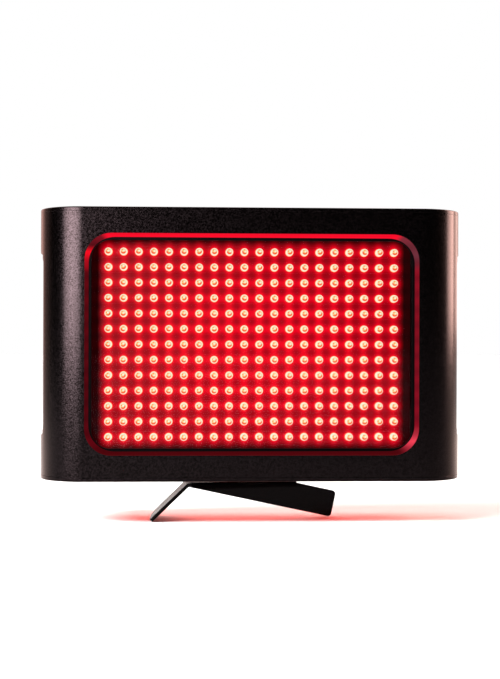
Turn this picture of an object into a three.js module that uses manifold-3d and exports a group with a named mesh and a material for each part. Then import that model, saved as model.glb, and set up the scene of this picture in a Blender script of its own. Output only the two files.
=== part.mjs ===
// Desktop red light therapy panel on a folded steel stand.
// Millimetres, +Z up, front face towards -Y. The origin ends up at the middle of the footprint.
import * as THREE from 'three';
import { mergeVertices } from 'three/addons/utils/BufferGeometryUtils.js';
import Module from 'manifold-3d';

const wasm = await Module();
wasm.setup();

// Driving sizes of the housing
const housing = {
  width: 278,
  height: 177,
  depth: 60,
  frontRadius: 30,
  rearRadius: 8,
  frontWall: 3,
  sideWall: 6,
  lipThickness: 5,
  lipReach: 21,
};
const fitGap = 0.3;
const cutOverrun = 2;
const weldTolerance = 1e-4;
const cap = { thickness: 2.5, edgeBreak: 0.5 };
const scoop = { length: 127, ramp: 11, depth: 2.8, drop: 0.2 };
const vent = { count: 12, pitch: 10.4, height: 4.3, frontY: 18.5, rearMargin: 8, inset: 14 };

// Driving sizes of the lit window
const windowCut = { sideBorder: 31, endBorder: 17, radius: 16, taper: 1.7 };
const bezel = {
  thickness: 2, sideOverlap: 2.7, spacerGap: 1.3, radius: 14, sideLedge: 2.5, endLedge: 2.55, innerRadius: 12,
};
const lens = { sideInset: 1, endInset: 2, radius: 12, thickness: 2 };
const led = {
  columns: 20, rows: 13, sideMargin: 10.225, endMargin: 6.77, rimRadius: 2.8, shoulderRadius: 2.3,
  shoulder: 5.2, length: 7.4, lensGap: 0.9, stripThickness: 0.8, stripHeight: 7, stripMargin: 2,
};
const board = { sideMargin: 1.2, endGap: 2.2, radius: 5, thickness: 1.6 };
const spacer = { radius: 3.2, sideInset: 7, endInset: 4, boreClearance: 0.2, boreDepth: 8 };
const sink = { sideInset: 2, screwGap: 1.9, base: 3, finHeight: 9, finThickness: 1.5, finCount: 19 };

// Driving sizes of the back
const cover = { thickness: 2.2, ledge: 8 };
const fan = {
  size: 80, depth: 15, cornerRadius: 5, rim: 2, sideGap: 18, topGap: 7.7,
  hubRadius: 16, hubThickness: 3.5, strutWidth: 4, strutCount: 4,
  holeInset: 4.2, axleRadius: 1.5,
};
const rotor = {
  hubRadius: 15, length: 9.5, boreClearance: 0.4, blades: 7, rootDepth: 2, tipGap: 2.5,
  rootChord: 11, tipChord: 17, rootPitch: 42, tipPitch: 25, bladeThickness: 1.4,
};
const grille = { width: 4.4, pitch: 8, inset: 3 };
const serviceRise = 33.7;
const driver = { width: 44, height: 20, bevel: 1.2, sideGap: 24, rockerGap: 27.5 };
const inlet = {
  sideInset: 22, bodyWidth: 27, bodyHeight: 19.6, bodyDepth: 19, sideWall: 1.5, endWall: 1.6, cavityDepth: 16,
  cavityRadius: 3, flangeSide: 1.75, flangeEnd: 2.2, flangeThickness: 2, flangeRadius: 2,
  pinWidth: 2, pinHeight: 4, pinLength: 15, pinSpread: 7, pinRise: 2, pinRoot: 2.4,
};
const rocker = {
  inletPitch: 44, bodyWidth: 13, bodyHeight: 19, bodyDepth: 13, wall: 1.1, pocketDepth: 7.5,
  flangeReach: 1, flangeThickness: 1.6, flangeRadius: 1, sideClearance: 0.4, endClearance: 0.8,
  endRise: 1.2, dip: 0.3, shoulderInset: 0.6, shoulderDrop: 2.5, footHalf: 2.5, footDrop: 5,
  pivotDrop: 2, tilt: 8,
};

// Driving sizes of fasteners
const screw = { headRadius: 2.6, headHeight: 1.4, shankRadius: 1.2, length: 7 };
const coverScrew = { edge: 3.5, rowShares: [-0.86, 0, 0.86] };
const capScrew = { y: 29, length: 9 };
const port = { radius: 4.4, length: 15, embed: 1 };

// Driving sizes of the stand, a folded steel sheet
const stand = {
  sheet: 2.3, bendRadius: 2, clearHeight: 27, footReach: 23.7, footX: -41, footFrontY: 9.5, footDepth: 35,
  footRearRadius: 12, footFrontRadius: 1.5, tabRight: 31, tabRadius: 9,
  legAzimuth: 13.9, legReach: 98, legHeight: 17.5, legCornerRadius: 2.4, relief: 1.5, flange: 4,
};
const pivot = { y: 29, boltRadius: 3, clearance: 0.4, headRadius: 4.6, headHeight: 3.2, shankLength: 15.4 };
const washer = { radius: 11, thickness: 1.4 };
const nut = { acrossRadius: 6.4, height: 5 };

// Facet counts
const fine = {
  corner: 5, smallCorner: 2, tinyCorner: 1, bore: 20, hub: 16, hole: 6, slotEnd: 2, ramp: 5, bend: 2,
};

// Values worked out from the sizes above
const halfWidth = housing.width / 2;
const midZ = housing.height / 2;
const shellBottom = cap.thickness + fitGap;
const shellHeight = housing.height - 2 * shellBottom;
const cavityHalf = halfWidth - housing.sideWall;
const cavityRadius = housing.frontRadius - housing.sideWall;
const lipInner = halfWidth - housing.lipReach;
const recessHalf = lipInner + cover.ledge;
const coverFrontY = housing.depth - cover.thickness;
const recessFloorY = coverFrontY - fitGap;
const capScrewX = cavityHalf - port.radius + port.embed;
const coverScrewX = recessHalf - coverScrew.edge;

const windowWidth = housing.width - 2 * windowCut.sideBorder;
const windowHeight = housing.height - 2 * windowCut.endBorder;
const bezelY = housing.frontWall + fitGap;
const lensY = bezelY + bezel.thickness + fitGap;
const boardY = lensY + lens.thickness + led.lensGap + led.length + led.stripThickness + fitGap;
const sinkY = boardY + board.thickness + fitGap;
const innerWidth = windowWidth - 2 * (windowCut.taper + bezel.sideLedge);
const innerHeight = windowHeight - 2 * (windowCut.taper + bezel.endLedge);
const boardWidth = innerWidth + 2 * board.sideMargin;
const boardHeight = shellHeight - 2 * board.endGap;
const spacerX = boardWidth / 2 - spacer.sideInset;
const spacerZ = boardHeight / 2 - spacer.endInset;
const bezelWidth = windowWidth + 2 * (bezel.sideOverlap - windowCut.taper);
const bezelHeight = 2 * (spacerZ - spacer.radius - bezel.spacerGap);
const sinkWidth = boardWidth - 2 * sink.sideInset;
const sinkHeight = 2 * (spacerZ - screw.headRadius - sink.screwGap);
const ledPitchX = (innerWidth - 2 * led.sideMargin) / (led.columns - 1);
const ledPitchZ = (innerHeight - 2 * led.endMargin) / (led.rows - 1);

const fanFrontY = coverFrontY - fitGap - fan.depth;
const fanX = lipInner - fan.size / 2 - fan.sideGap;
const fanZ = midZ + shellHeight / 2 - fan.size / 2 - fan.topGap;
const fanBore = fan.size / 2 - fan.rim;
const serviceZ = shellBottom + serviceRise;
const inletX = lipInner - inlet.sideInset;
const rockerX = inletX - rocker.inletPitch;
const rockerPivotY = housing.depth + fitGap + rocker.flangeThickness - rocker.pivotDrop;
const driverLeft = driver.sideGap - lipInner;
const driverRight = rockerX - rocker.bodyWidth / 2 - driver.rockerGap;
const pivotHole = pivot.boltRadius + pivot.clearance;

const X = new THREE.Vector3(1, 0, 0);
const Y = new THREE.Vector3(0, 1, 0);
const Z = new THREE.Vector3(0, 0, 1);
const DEGREE = Math.PI / 180;

// Surface finishes
function finish(colour, roughness, metalness) {
  return new THREE.MeshStandardMaterial({ color: colour, roughness, metalness });
}
const satinBlack = finish(0x17131a, 0.5, 0.6);
const capBlack = finish(0x1b171d, 0.5, 0.6);
const mouldedBlack = finish(0x101012, 0.55, 0);
const clearAcrylic = finish(0x3a0a10, 0.08, 0);
const darkMask = finish(0x2a0a0c, 0.35, 0);
const redEpoxy = finish(0xff3020, 0.2, 0);
const rawAluminium = finish(0xb8babd, 0.4, 1);
const zincSteel = finish(0x8f9296, 0.35, 1);
const blackSteel = finish(0x1a1718, 0.5, 0.5);
const nylonWhite = finish(0xd8d4ca, 0.6, 0);

// Solids from three.js geometry and back
function toSolid(geometry) {
  const bare = geometry.index ? geometry.toNonIndexed() : geometry.clone();
  bare.deleteAttribute('normal');
  bare.deleteAttribute('uv');
  const merged = mergeVertices(bare, weldTolerance);
  return new wasm.Manifold(new wasm.Mesh({
    numProp: 3,
    vertProperties: new Float32Array(merged.attributes.position.array),
    triVerts: new Uint32Array(merged.index.array),
  }));
}
function toGeometry(solid) {
  const data = solid.getMesh();
  const geometry = new THREE.BufferGeometry();
  geometry.setAttribute('position', new THREE.BufferAttribute(new Float32Array(data.vertProperties), 3));
  geometry.setIndex(new THREE.BufferAttribute(new Uint32Array(data.triVerts), 1));
  return geometry;
}
function cut(base, tools) {
  return tools.reduce((solid, tool) => solid.subtract(toSolid(tool)), toSolid(base));
}
function join(pieces) {
  return pieces.slice(1).reduce((solid, piece) => solid.add(toSolid(piece)), toSolid(pieces[0]));
}

// Outlines
function roundRect(width, height, radius) {
  const w = width / 2 - radius;
  const h = height / 2 - radius;
  const shape = new THREE.Shape();
  shape.absarc(w, h, radius, 0, Math.PI / 2);
  shape.absarc(-w, h, radius, Math.PI / 2, Math.PI);
  shape.absarc(-w, -h, radius, Math.PI, 1.5 * Math.PI);
  shape.absarc(w, -h, radius, 1.5 * Math.PI, 2 * Math.PI);
  shape.closePath();
  return shape;
}
function slotOutline(length, width) {
  const shape = new THREE.Shape();
  const reach = (length - width) / 2;
  shape.absarc(reach, 0, width / 2, -Math.PI / 2, Math.PI / 2);
  shape.absarc(-reach, 0, width / 2, Math.PI / 2, 1.5 * Math.PI);
  shape.closePath();
  return shape;
}
function polygon(points) {
  return new THREE.Shape(points.map(([a, b]) => new THREE.Vector2(a, b)));
}
// The housing's plan outline: wide round corners at the front, tight ones at the rear.
function planOutline(half, front, rear, frontRadius, rearRadius) {
  const shape = new THREE.Shape();
  shape.absarc(half - frontRadius, front + frontRadius, frontRadius, -Math.PI / 2, 0);
  shape.absarc(half - rearRadius, rear - rearRadius, rearRadius, 0, Math.PI / 2);
  shape.absarc(-half + rearRadius, rear - rearRadius, rearRadius, Math.PI / 2, Math.PI);
  shape.absarc(-half + frontRadius, front + frontRadius, frontRadius, Math.PI, 1.5 * Math.PI);
  shape.closePath();
  return shape;
}

// Prisms along each axis
function prism(shape, length, curveSegments) {
  return new THREE.ExtrudeGeometry(shape, { depth: length, bevelEnabled: false, curveSegments });
}
function place(geometry, origin, u, v) {
  const n = new THREE.Vector3().crossVectors(u, v);
  return geometry.clone().applyMatrix4(new THREE.Matrix4().makeBasis(u, v, n).setPosition(...origin));
}
function upright(shape, bottom, height, segments) {
  return prism(shape, height, segments).translate(0, 0, bottom);
}
function backward(shape, x, frontY, z, length, segments) {
  return place(prism(shape, length, segments), [x, frontY + length, z], X, Z);
}
function sideways(shape, startX, y, z, length, segments) {
  return place(prism(shape, length, segments), [startX, y, z], Y, Z);
}
function disc(radius, height, sides) {
  return new THREE.CylinderGeometry(radius, radius, height, sides);
}
// Cylinder whose axis runs along Y from frontY to frontY + length.
function rod(radius, x, frontY, z, length, sides) {
  return disc(radius, length, sides).translate(x, frontY + length / 2, z);
}
// Cylinder whose axis runs along Z upwards from bottom.
function post(radius, x, y, bottom, height, sides) {
  return disc(radius, height, sides).rotateX(Math.PI / 2).translate(x, y, bottom + height / 2);
}
// Closed solid through rings of equal point counts, first ring to last.
function loft(rings) {
  const count = rings[0].length;
  const positions = rings.flat().flatMap((point) => [point.x, point.y, point.z]);
  const index = [];
  for (let level = 0; level < rings.length - 1; level += 1) {
    for (let i = 0; i < count; i += 1) {
      const a = level * count + i;
      const b = level * count + ((i + 1) % count);
      index.push(a, b, b + count, a, b + count, a + count);
    }
  }
  const last = (rings.length - 1) * count;
  for (let i = 1; i < count - 1; i += 1) {
    index.push(0, i + 1, i, last, last + i, last + i + 1);
  }
  const geometry = new THREE.BufferGeometry();
  geometry.setAttribute('position', new THREE.Float32BufferAttribute(positions, 3));
  geometry.setIndex(index);
  return geometry;
}
function piece(name, geometry, material, parent) {
  const mesh = new THREE.Mesh(geometry, material);
  mesh.name = name;
  parent.add(mesh);
  return mesh;
}
function solidPiece(name, solid, material, parent) {
  return piece(name, toGeometry(solid), material, parent);
}

// Screw with a pan head; the shank points along +Y from the head's underside at y = 0.
function screwBlank(length) {
  const profile = [
    [0, -screw.headHeight], [screw.headRadius, -screw.headHeight], [screw.headRadius, 0],
    [screw.shankRadius, 0], [screw.shankRadius, length], [0, length],
  ];
  return new THREE.LatheGeometry(profile.map(([r, y]) => new THREE.Vector2(r, y)), fine.hole);
}
function screwHole(x, frontY, z, length) {
  return rod(screw.shankRadius + fitGap, x, frontY, z, length, fine.hole);
}

const rootGroup = new THREE.Group();
const panel = new THREE.Group();
panel.position.z = stand.clearHeight;
const base = new THREE.Group();
rootGroup.add(panel, base);

// Positions shared by several pieces, in the panel's own frame
const coverScrewSpots = coverScrew.rowShares.flatMap((share) => [-1, 1].map((side) => (
  [side * coverScrewX, midZ + (share * shellHeight) / 2]
)));
const capScrewSpots = [-1, 1].map((side) => [side * capScrewX, capScrew.y]);
const spacerSpots = [-1, 1].flatMap((side) => [-1, 1].map((end) => (
  [side * spacerX, midZ + end * spacerZ]
)));
const fanHole = fan.size / 2 - fan.holeInset;
const fanScrewSpots = [-1, 1].flatMap((side) => [[-1, -1], [1, -1], [1, 1], [-1, 1]].map(([a, b]) => (
  [side * fanX + a * fanHole, fanZ + b * fanHole]
)));

// Extruded housing shell: a wide C in plan with rear lips, a tapered window, side scoops and vents
function housingShell() {
  const outer = upright(planOutline(halfWidth, 0, housing.depth, housing.frontRadius, housing.rearRadius),
    shellBottom, shellHeight, fine.corner);
  const cavityRear = housing.depth - housing.lipThickness;
  const tallBottom = shellBottom - cutOverrun;
  const tallHeight = shellHeight + 2 * cutOverrun;
  const cavity = upright(planOutline(cavityHalf, housing.frontWall, cavityRear, cavityRadius,
    housing.rearRadius / 2), tallBottom, tallHeight, fine.smallCorner + 1);
  const slotDepth = housing.lipThickness + 2 * cutOverrun;
  const rearSlot = new THREE.BoxGeometry(2 * lipInner, slotDepth, tallHeight)
    .translate(0, housing.depth - housing.lipThickness / 2, midZ);
  const recessDepth = housing.depth - recessFloorY + cutOverrun;
  const recess = new THREE.BoxGeometry(2 * recessHalf, recessDepth, tallHeight)
    .translate(0, recessFloorY + recessDepth / 2, midZ);
  const shell = cut(outer, [cavity, rearSlot, recess, windowCutter(), ...scoopCutters(), ...ventCutters()]);
  const ports = capScrewSpots.flatMap(([x, y]) => [
    post(port.radius, x, y, shellBottom, port.length, fine.hub / 2),
    post(port.radius, x, y, shellBottom + shellHeight - port.length, port.length, fine.hub / 2),
  ]);
  const ported = ports.reduce((solid, boss) => solid.add(toSolid(boss)), shell);
  const holes = [
    ...capScrewSpots.flatMap(([x, y]) => [
      post(screw.shankRadius + fitGap, x, y, tallBottom, capScrew.length + cutOverrun, fine.hole),
      post(screw.shankRadius + fitGap, x, y, shellBottom + shellHeight - capScrew.length,
        capScrew.length + cutOverrun, fine.hole),
    ]),
    ...coverScrewSpots.map(([x, z]) => (
      screwHole(x, recessFloorY - housing.lipThickness, z, housing.lipThickness + cutOverrun))),
  ];
  return holes.reduce((solid, hole) => solid.subtract(toSolid(hole)), ported);
}
function rectRing(width, height, radius, y) {
  return roundRect(width, height, radius).getPoints(fine.smallCorner + 2).slice(0, -1)
    .map((point) => new THREE.Vector3(point.x, y, midZ + point.y));
}
function windowCutter() {
  const slope = windowCut.taper / housing.frontWall;
  const rings = [housing.frontWall + cutOverrun, -cutOverrun].map((y) => {
    const shrink = 2 * slope * y;
    return rectRing(windowWidth - shrink, windowHeight - shrink, windowCut.radius - shrink / 2, y);
  });
  return loft(rings);
}
function scoopCutters() {
  const half = scoop.length / 2;
  const flat = half - scoop.ramp;
  const ease = scoop.ramp / 2;
  const shape = new THREE.Shape();
  shape.moveTo(cutOverrun, -half);
  shape.lineTo(0, -half);
  shape.bezierCurveTo(0, -half + ease, -scoop.depth, -flat - ease, -scoop.depth, -flat);
  shape.lineTo(-scoop.depth, flat);
  shape.bezierCurveTo(-scoop.depth, flat + ease, 0, half - ease, 0, half);
  shape.lineTo(cutOverrun, half);
  shape.closePath();
  const right = backward(shape, halfWidth, -cutOverrun, midZ - scoop.drop,
    housing.depth + 2 * cutOverrun, fine.ramp);
  return [right, right.clone().rotateZ(Math.PI).translate(0, housing.depth, 0)];
}
function ventCutters() {
  const rearY = housing.depth - vent.rearMargin;
  const length = rearY - vent.frontY;
  const middle = (rearY + vent.frontY) / 2;
  const reach = vent.inset + cutOverrun;
  const cutters = [];
  for (let i = 0; i < vent.count; i += 1) {
    const z = midZ - scoop.drop + (i - (vent.count - 1) / 2) * vent.pitch;
    const outline = slotOutline(length, vent.height);
    cutters.push(sideways(outline, halfWidth - vent.inset, middle, z, reach, fine.slotEnd));
    cutters.push(sideways(outline, -halfWidth - cutOverrun, middle, z, reach, fine.slotEnd));
  }
  return cutters;
}

// End caps with a small edge break all round and counterbores that take the screw heads flush
function endCap(isTop) {
  const inset = cap.edgeBreak;
  const levels = isTop
    ? [[0, 0], [cap.thickness - inset, 0], [cap.thickness, inset]]
    : [[0, inset], [inset, 0], [cap.thickness, 0]];
  const rings = levels.map(([height, pull]) => (
    planOutline(halfWidth - pull, pull, housing.depth - pull, housing.frontRadius - pull,
      housing.rearRadius - pull).getPoints(fine.corner).slice(0, -1)
      .map((point) => new THREE.Vector3(point.x, point.y, height))));
  const bottom = isTop ? housing.height - cap.thickness : 0;
  const blank = loft(rings).translate(0, 0, bottom);
  const headSink = screw.headHeight + fitGap;
  const sinkBottom = isTop ? housing.height - headSink : -cutOverrun;
  const tools = capScrewSpots.flatMap(([x, y]) => [
    post(screw.shankRadius + fitGap, x, y, bottom - cutOverrun, cap.thickness + 2 * cutOverrun, fine.hole),
    post(screw.headRadius + fitGap, x, y, sinkBottom, headSink + cutOverrun, fine.hole),
  ]);
  if (!isTop) {
    tools.push(post(pivotHole, 0, pivot.y, bottom - cutOverrun, cap.thickness + 2 * cutOverrun,
      fine.hub / 2));
  }
  return cut(blank, tools);
}

// Rear cover, set between the lips, with a slotted grille over each fan
function rearCover() {
  const tools = [];
  const through = cover.thickness + 2 * cutOverrun;
  const grilleRadius = fanBore - grille.inset;
  const halfCount = Math.floor((grilleRadius - grille.width / 2) / grille.pitch);
  for (const side of [-1, 1]) {
    for (let i = -halfCount; i <= halfCount; i += 1) {
      const offset = i * grille.pitch;
      const length = 2 * Math.sqrt(grilleRadius ** 2 - offset ** 2);
      const outline = slotOutline(length, grille.width);
      tools.push(place(prism(outline, through, fine.tinyCorner),
        [side * fanX + offset, coverFrontY - cutOverrun, fanZ], Z, X));
    }
  }
  for (const [x, fitting] of [[inletX, inlet], [rockerX, rocker]]) {
    const opening = roundRect(fitting.bodyWidth + 2 * fitGap, fitting.bodyHeight + 2 * fitGap,
      fitting.flangeRadius);
    tools.push(backward(opening, x, coverFrontY - cutOverrun, serviceZ, through, fine.tinyCorner));
  }
  for (const [x, z] of [...coverScrewSpots, ...fanScrewSpots]) {
    tools.push(screwHole(x, coverFrontY - cutOverrun, z, through));
  }
  const plate = new THREE.BoxGeometry(2 * (recessHalf - fitGap), cover.thickness, shellHeight)
    .translate(0, coverFrontY + cover.thickness / 2, midZ);
  return cut(plate, tools);
}

// Light engine
function ringPlate() {
  const outer = backward(roundRect(bezelWidth, bezelHeight, bezel.radius), 0, bezelY, midZ,
    bezel.thickness, fine.smallCorner + 1);
  const inner = backward(roundRect(innerWidth, innerHeight, bezel.innerRadius), 0,
    bezelY - cutOverrun, midZ, bezel.thickness + 2 * cutOverrun, fine.smallCorner + 2);
  return cut(outer, [inner]);
}
function lensPlate() {
  const outline = roundRect(bezelWidth - 2 * lens.sideInset, bezelHeight - 2 * lens.endInset, lens.radius);
  return backward(outline, 0, lensY, midZ, lens.thickness, fine.smallCorner + 1);
}
// One bullet-shaped dome, its rim on the strip and its tip towards the front.
function ledBlank() {
  const profile = [
    [0, led.length], [led.shoulderRadius, led.shoulder], [led.rimRadius, 0],
    [led.rimRadius, -led.stripThickness / 2], [0, -led.stripThickness / 2],
  ];
  return new THREE.LatheGeometry(profile.map(([r, h]) => new THREE.Vector2(r, -h)), fine.hole);
}
function ledRow(row) {
  const blank = ledBlank();
  const z = midZ + ((led.rows - 1) / 2 - row) * ledPitchZ;
  const frontY = boardY - fitGap - led.stripThickness;
  const stripWidth = (led.columns - 1) * ledPitchX + 2 * (led.rimRadius + led.stripMargin);
  const pieces = [new THREE.BoxGeometry(stripWidth, led.stripThickness, led.stripHeight)
    .translate(0, frontY + led.stripThickness / 2, z)];
  for (let column = 0; column < led.columns; column += 1) {
    const x = (column - (led.columns - 1) / 2) * ledPitchX;
    pieces.push(blank.clone().translate(x, frontY, z));
  }
  return join(pieces);
}
function ledBoard() {
  const plate = backward(roundRect(boardWidth, boardHeight, board.radius), 0, boardY, midZ,
    board.thickness, fine.smallCorner);
  return cut(plate, spacerSpots.map(([x, z]) => (
    screwHole(x, boardY - cutOverrun, z, board.thickness + 2 * cutOverrun))));
}
function boardSpacer([x, z]) {
  const length = boardY - fitGap - housing.frontWall - fitGap;
  const bore = screw.shankRadius + spacer.boreClearance;
  return cut(rod(spacer.radius, x, housing.frontWall + fitGap, z, length, fine.hole), [
    rod(bore, x, boardY - fitGap - spacer.boreDepth, z, spacer.boreDepth + cutOverrun, fine.hole),
  ]);
}
function heatSink() {
  const pitch = (sinkWidth - sink.finThickness) / (sink.finCount - 1);
  const outline = [[-sinkWidth / 2, 0], [sinkWidth / 2, 0]];
  for (let i = sink.finCount - 1; i >= 0; i -= 1) {
    const left = -sinkWidth / 2 + i * pitch;
    const right = left + sink.finThickness;
    const top = sink.base + sink.finHeight;
    outline.push([right, top], [left, top]);
    if (i > 0) {
      outline.push([left, sink.base], [left - pitch + sink.finThickness, sink.base]);
    }
  }
  return upright(polygon(outline), midZ - sinkHeight / 2, sinkHeight, 1).translate(0, sinkY, 0);
}
function boardScrew([x, z]) {
  return screwBlank(screw.length).rotateZ(Math.PI).translate(x, sinkY, z);
}

// Axial fans
function fanFrame(side) {
  const x = side * fanX;
  const z = fanZ;
  const blank = backward(roundRect(fan.size, fan.size, fan.cornerRadius), x, fanFrontY, z, fan.depth,
    fine.tinyCorner);
  const bored = cut(blank, [
    rod(fanBore, x, fanFrontY - cutOverrun, z, fan.depth + 2 * cutOverrun, fine.bore),
    ...fanScrewSpots.filter(([spotX]) => Math.sign(spotX) === side)
      .map(([spotX, spotZ]) => screwHole(spotX, fanFrontY - cutOverrun, spotZ, fan.depth + 2 * cutOverrun)),
  ]);
  const carriers = [
    rod(fan.hubRadius, x, fanFrontY, z, fan.hubThickness, fine.hub),
    rod(fan.axleRadius, x, fanFrontY, z, fan.hubThickness + rotor.length, fine.hole),
  ];
  for (let i = 0; i < fan.strutCount; i += 1) {
    const strut = new THREE.BoxGeometry(fanBore + fitGap, fan.hubThickness, fan.strutWidth)
      .translate((fanBore + fitGap) / 2, fan.hubThickness / 2, 0)
      .rotateY(((i + 0.5) * 2 * Math.PI) / fan.strutCount).translate(x, fanFrontY, z);
    carriers.push(strut);
  }
  return carriers.reduce((solid, carrier) => solid.add(toSolid(carrier)), bored);
}
function fanBlade(turn) {
  const stationShares = [1, 0.5, 0];
  const rings = stationShares.map((share) => {
    const mix = (a, b) => a + (b - a) * share;
    const radius = mix(rotor.hubRadius - rotor.rootDepth, fanBore - rotor.tipGap);
    const chord = mix(rotor.rootChord, rotor.tipChord) / 2;
    const pitch = mix(rotor.rootPitch, rotor.tipPitch) * DEGREE;
    const half = rotor.bladeThickness / 2;
    const along = new THREE.Vector2(Math.cos(pitch), Math.sin(pitch));
    const across = new THREE.Vector2(-Math.sin(pitch), Math.cos(pitch));
    return [[-chord, -half], [chord, -half], [chord, half], [-chord, half]].map(([a, b]) => (
      new THREE.Vector3(radius, along.y * a + across.y * b, along.x * a + across.x * b)));
  });
  return loft(rings).rotateY(turn);
}
function fanRotor(side) {
  const hub = rod(rotor.hubRadius, 0, -rotor.length / 2, 0, rotor.length, fine.hub);
  const blades = [];
  for (let i = 0; i < rotor.blades; i += 1) {
    blades.push(fanBlade((i * 2 * Math.PI) / rotor.blades));
  }
  const bore = rod(fan.axleRadius + rotor.boreClearance, 0, -rotor.length / 2 - cutOverrun, 0,
    rotor.length + 2 * cutOverrun, fine.hub / 2);
  const middleY = fanFrontY + fan.hubThickness + fitGap + rotor.length / 2;
  return join([hub, ...blades]).subtract(toSolid(bore)).translate([side * fanX, middleY, fanZ]);
}

// Mains inlet, rocker switch and driver
function inletSocket() {
  const flangeY = housing.depth + fitGap;
  const cavityFloorY = flangeY + inlet.flangeThickness - inlet.cavityDepth;
  const flangeOutline = roundRect(inlet.bodyWidth + 2 * inlet.flangeSide,
    inlet.bodyHeight + 2 * inlet.flangeEnd, inlet.flangeRadius);
  const bodyOutline = roundRect(inlet.bodyWidth, inlet.bodyHeight, inlet.flangeRadius);
  const cavityOutline = roundRect(inlet.bodyWidth - 2 * inlet.sideWall,
    inlet.bodyHeight - 2 * inlet.endWall, inlet.cavityRadius);
  const flange = backward(flangeOutline, inletX, flangeY, serviceZ, inlet.flangeThickness, fine.tinyCorner);
  const body = backward(bodyOutline, inletX, flangeY - inlet.bodyDepth, serviceZ, inlet.bodyDepth + fitGap,
    fine.tinyCorner);
  const cavity = backward(cavityOutline, inletX, cavityFloorY, serviceZ, inlet.cavityDepth + cutOverrun,
    fine.tinyCorner);
  const shell = join([flange, body]).subtract(toSolid(cavity));
  const pinSpots = [
    [-inlet.pinSpread, inlet.pinRise], [inlet.pinSpread, inlet.pinRise], [0, 2 * inlet.pinRise],
  ];
  const pinY = cavityFloorY - inlet.pinRoot;
  const pins = pinSpots.map(([x, rise]) => (
    new THREE.BoxGeometry(inlet.pinWidth, inlet.pinLength, inlet.pinHeight)
      .translate(inletX + x, pinY + inlet.pinLength / 2, serviceZ + rise)));
  return pins.reduce((solid, pin) => solid.add(toSolid(pin)), shell);
}
function switchFrame() {
  const flangeY = housing.depth + fitGap;
  const pocketRear = flangeY + rocker.flangeThickness + cutOverrun;
  const pocketDepth = rocker.pocketDepth + cutOverrun;
  const flangeOutline = roundRect(rocker.bodyWidth + 2 * rocker.flangeReach,
    rocker.bodyHeight + 2 * rocker.flangeReach, rocker.flangeRadius);
  const bodyOutline = roundRect(rocker.bodyWidth, rocker.bodyHeight, rocker.flangeRadius);
  const flange = backward(flangeOutline, rockerX, flangeY, serviceZ, rocker.flangeThickness, fine.tinyCorner);
  const body = backward(bodyOutline, rockerX, flangeY - rocker.bodyDepth, serviceZ,
    rocker.bodyDepth + fitGap, fine.tinyCorner);
  const pocket = new THREE.BoxGeometry(rocker.bodyWidth - 2 * rocker.wall, pocketDepth,
    rocker.bodyHeight - 2 * rocker.wall).translate(rockerX, pocketRear - pocketDepth / 2, serviceZ);
  return join([flange, body]).subtract(toSolid(pocket));
}
// Rocker cap about its own pivot: two flats that meet in a shallow valley.
function rockerCap() {
  const drop = rocker.pivotDrop;
  const capHalf = rocker.bodyHeight / 2 - rocker.wall - rocker.endClearance;
  const capWidth = rocker.bodyWidth - 2 * (rocker.wall + rocker.sideClearance);
  const shoulderHalf = capHalf - rocker.shoulderInset;
  const outline = polygon([
    [rocker.endRise + drop, -capHalf], [-rocker.shoulderDrop + drop, -shoulderHalf],
    [-rocker.footDrop + drop, -rocker.footHalf], [-rocker.footDrop + drop, rocker.footHalf],
    [-rocker.shoulderDrop + drop, shoulderHalf], [rocker.endRise + drop, capHalf],
    [rocker.dip + drop, 0],
  ].reverse());
  return sideways(outline, -capWidth / 2, 0, 0, capWidth, 1);
}
function driverCase() {
  const length = driverRight - driverLeft;
  const blank = new THREE.ExtrudeGeometry(roundRect(length - 2 * driver.bevel,
    driver.width - 2 * driver.bevel, driver.bevel), {
    depth: driver.height - 2 * driver.bevel, bevelSize: driver.bevel, bevelThickness: driver.bevel,
    bevelSegments: 1, curveSegments: 1,
  });
  return place(blank, [driverLeft + length / 2, coverFrontY - fitGap - driver.bevel, serviceZ], X, Z);
}

// Screws at each place
function topCapScrew([x, y]) {
  return screwBlank(capScrew.length - cutOverrun).rotateX(-Math.PI / 2)
    .translate(x, y, housing.height - screw.headHeight);
}
function bottomCapScrew([x, y]) {
  return screwBlank(capScrew.length - cutOverrun).rotateX(Math.PI / 2).translate(x, y, screw.headHeight);
}
function rearScrew([x, z], length) {
  return screwBlank(length).rotateZ(Math.PI).translate(x, housing.depth + fitGap, z);
}

// Stand geometry, in the base frame with the floor at z = 0
const tabZ = stand.clearHeight - washer.thickness - 2 * fitGap - stand.sheet;
const footAngle = Math.atan2(tabZ, stand.footReach);
const bendOuter = stand.bendRadius + stand.sheet;
const legTurn = stand.legAzimuth * DEGREE;
const legU = new THREE.Vector3(Math.cos(legTurn), Math.sin(legTurn), 0);
const legSlope = Math.atan2(tabZ, stand.legReach);

const footTangent = stand.bendRadius * Math.tan(footAngle / 2);
const bendX = stand.footX + footTangent;
const footRear = stand.footFrontY + stand.footDepth;
const toeX = stand.footX - stand.footReach;
const footOut = new THREE.Vector3(-Math.sin(footAngle), 0, Math.cos(footAngle));
const footDown = new THREE.Vector3(-Math.cos(footAngle), 0, -Math.sin(footAngle));
const legTopZ = stand.legHeight * Math.cos(legSlope);
const legEndU = stand.legReach + stand.legHeight * Math.sin(legSlope);
const tabTop = tabZ + stand.sheet;

// Removes what lies outside a rounded corner; the corner is at the origin, its material at minus u and v.
function cornerCutter(radius) {
  const shape = new THREE.Shape();
  shape.moveTo(-radius, cutOverrun);
  shape.lineTo(-radius, 0);
  shape.absarc(-radius, -radius, radius, Math.PI / 2, 0, true);
  shape.lineTo(cutOverrun, -radius);
  shape.lineTo(cutOverrun, cutOverrun);
  shape.closePath();
  return prism(shape, stand.sheet + 2 * cutOverrun, fine.bend);
}
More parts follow.
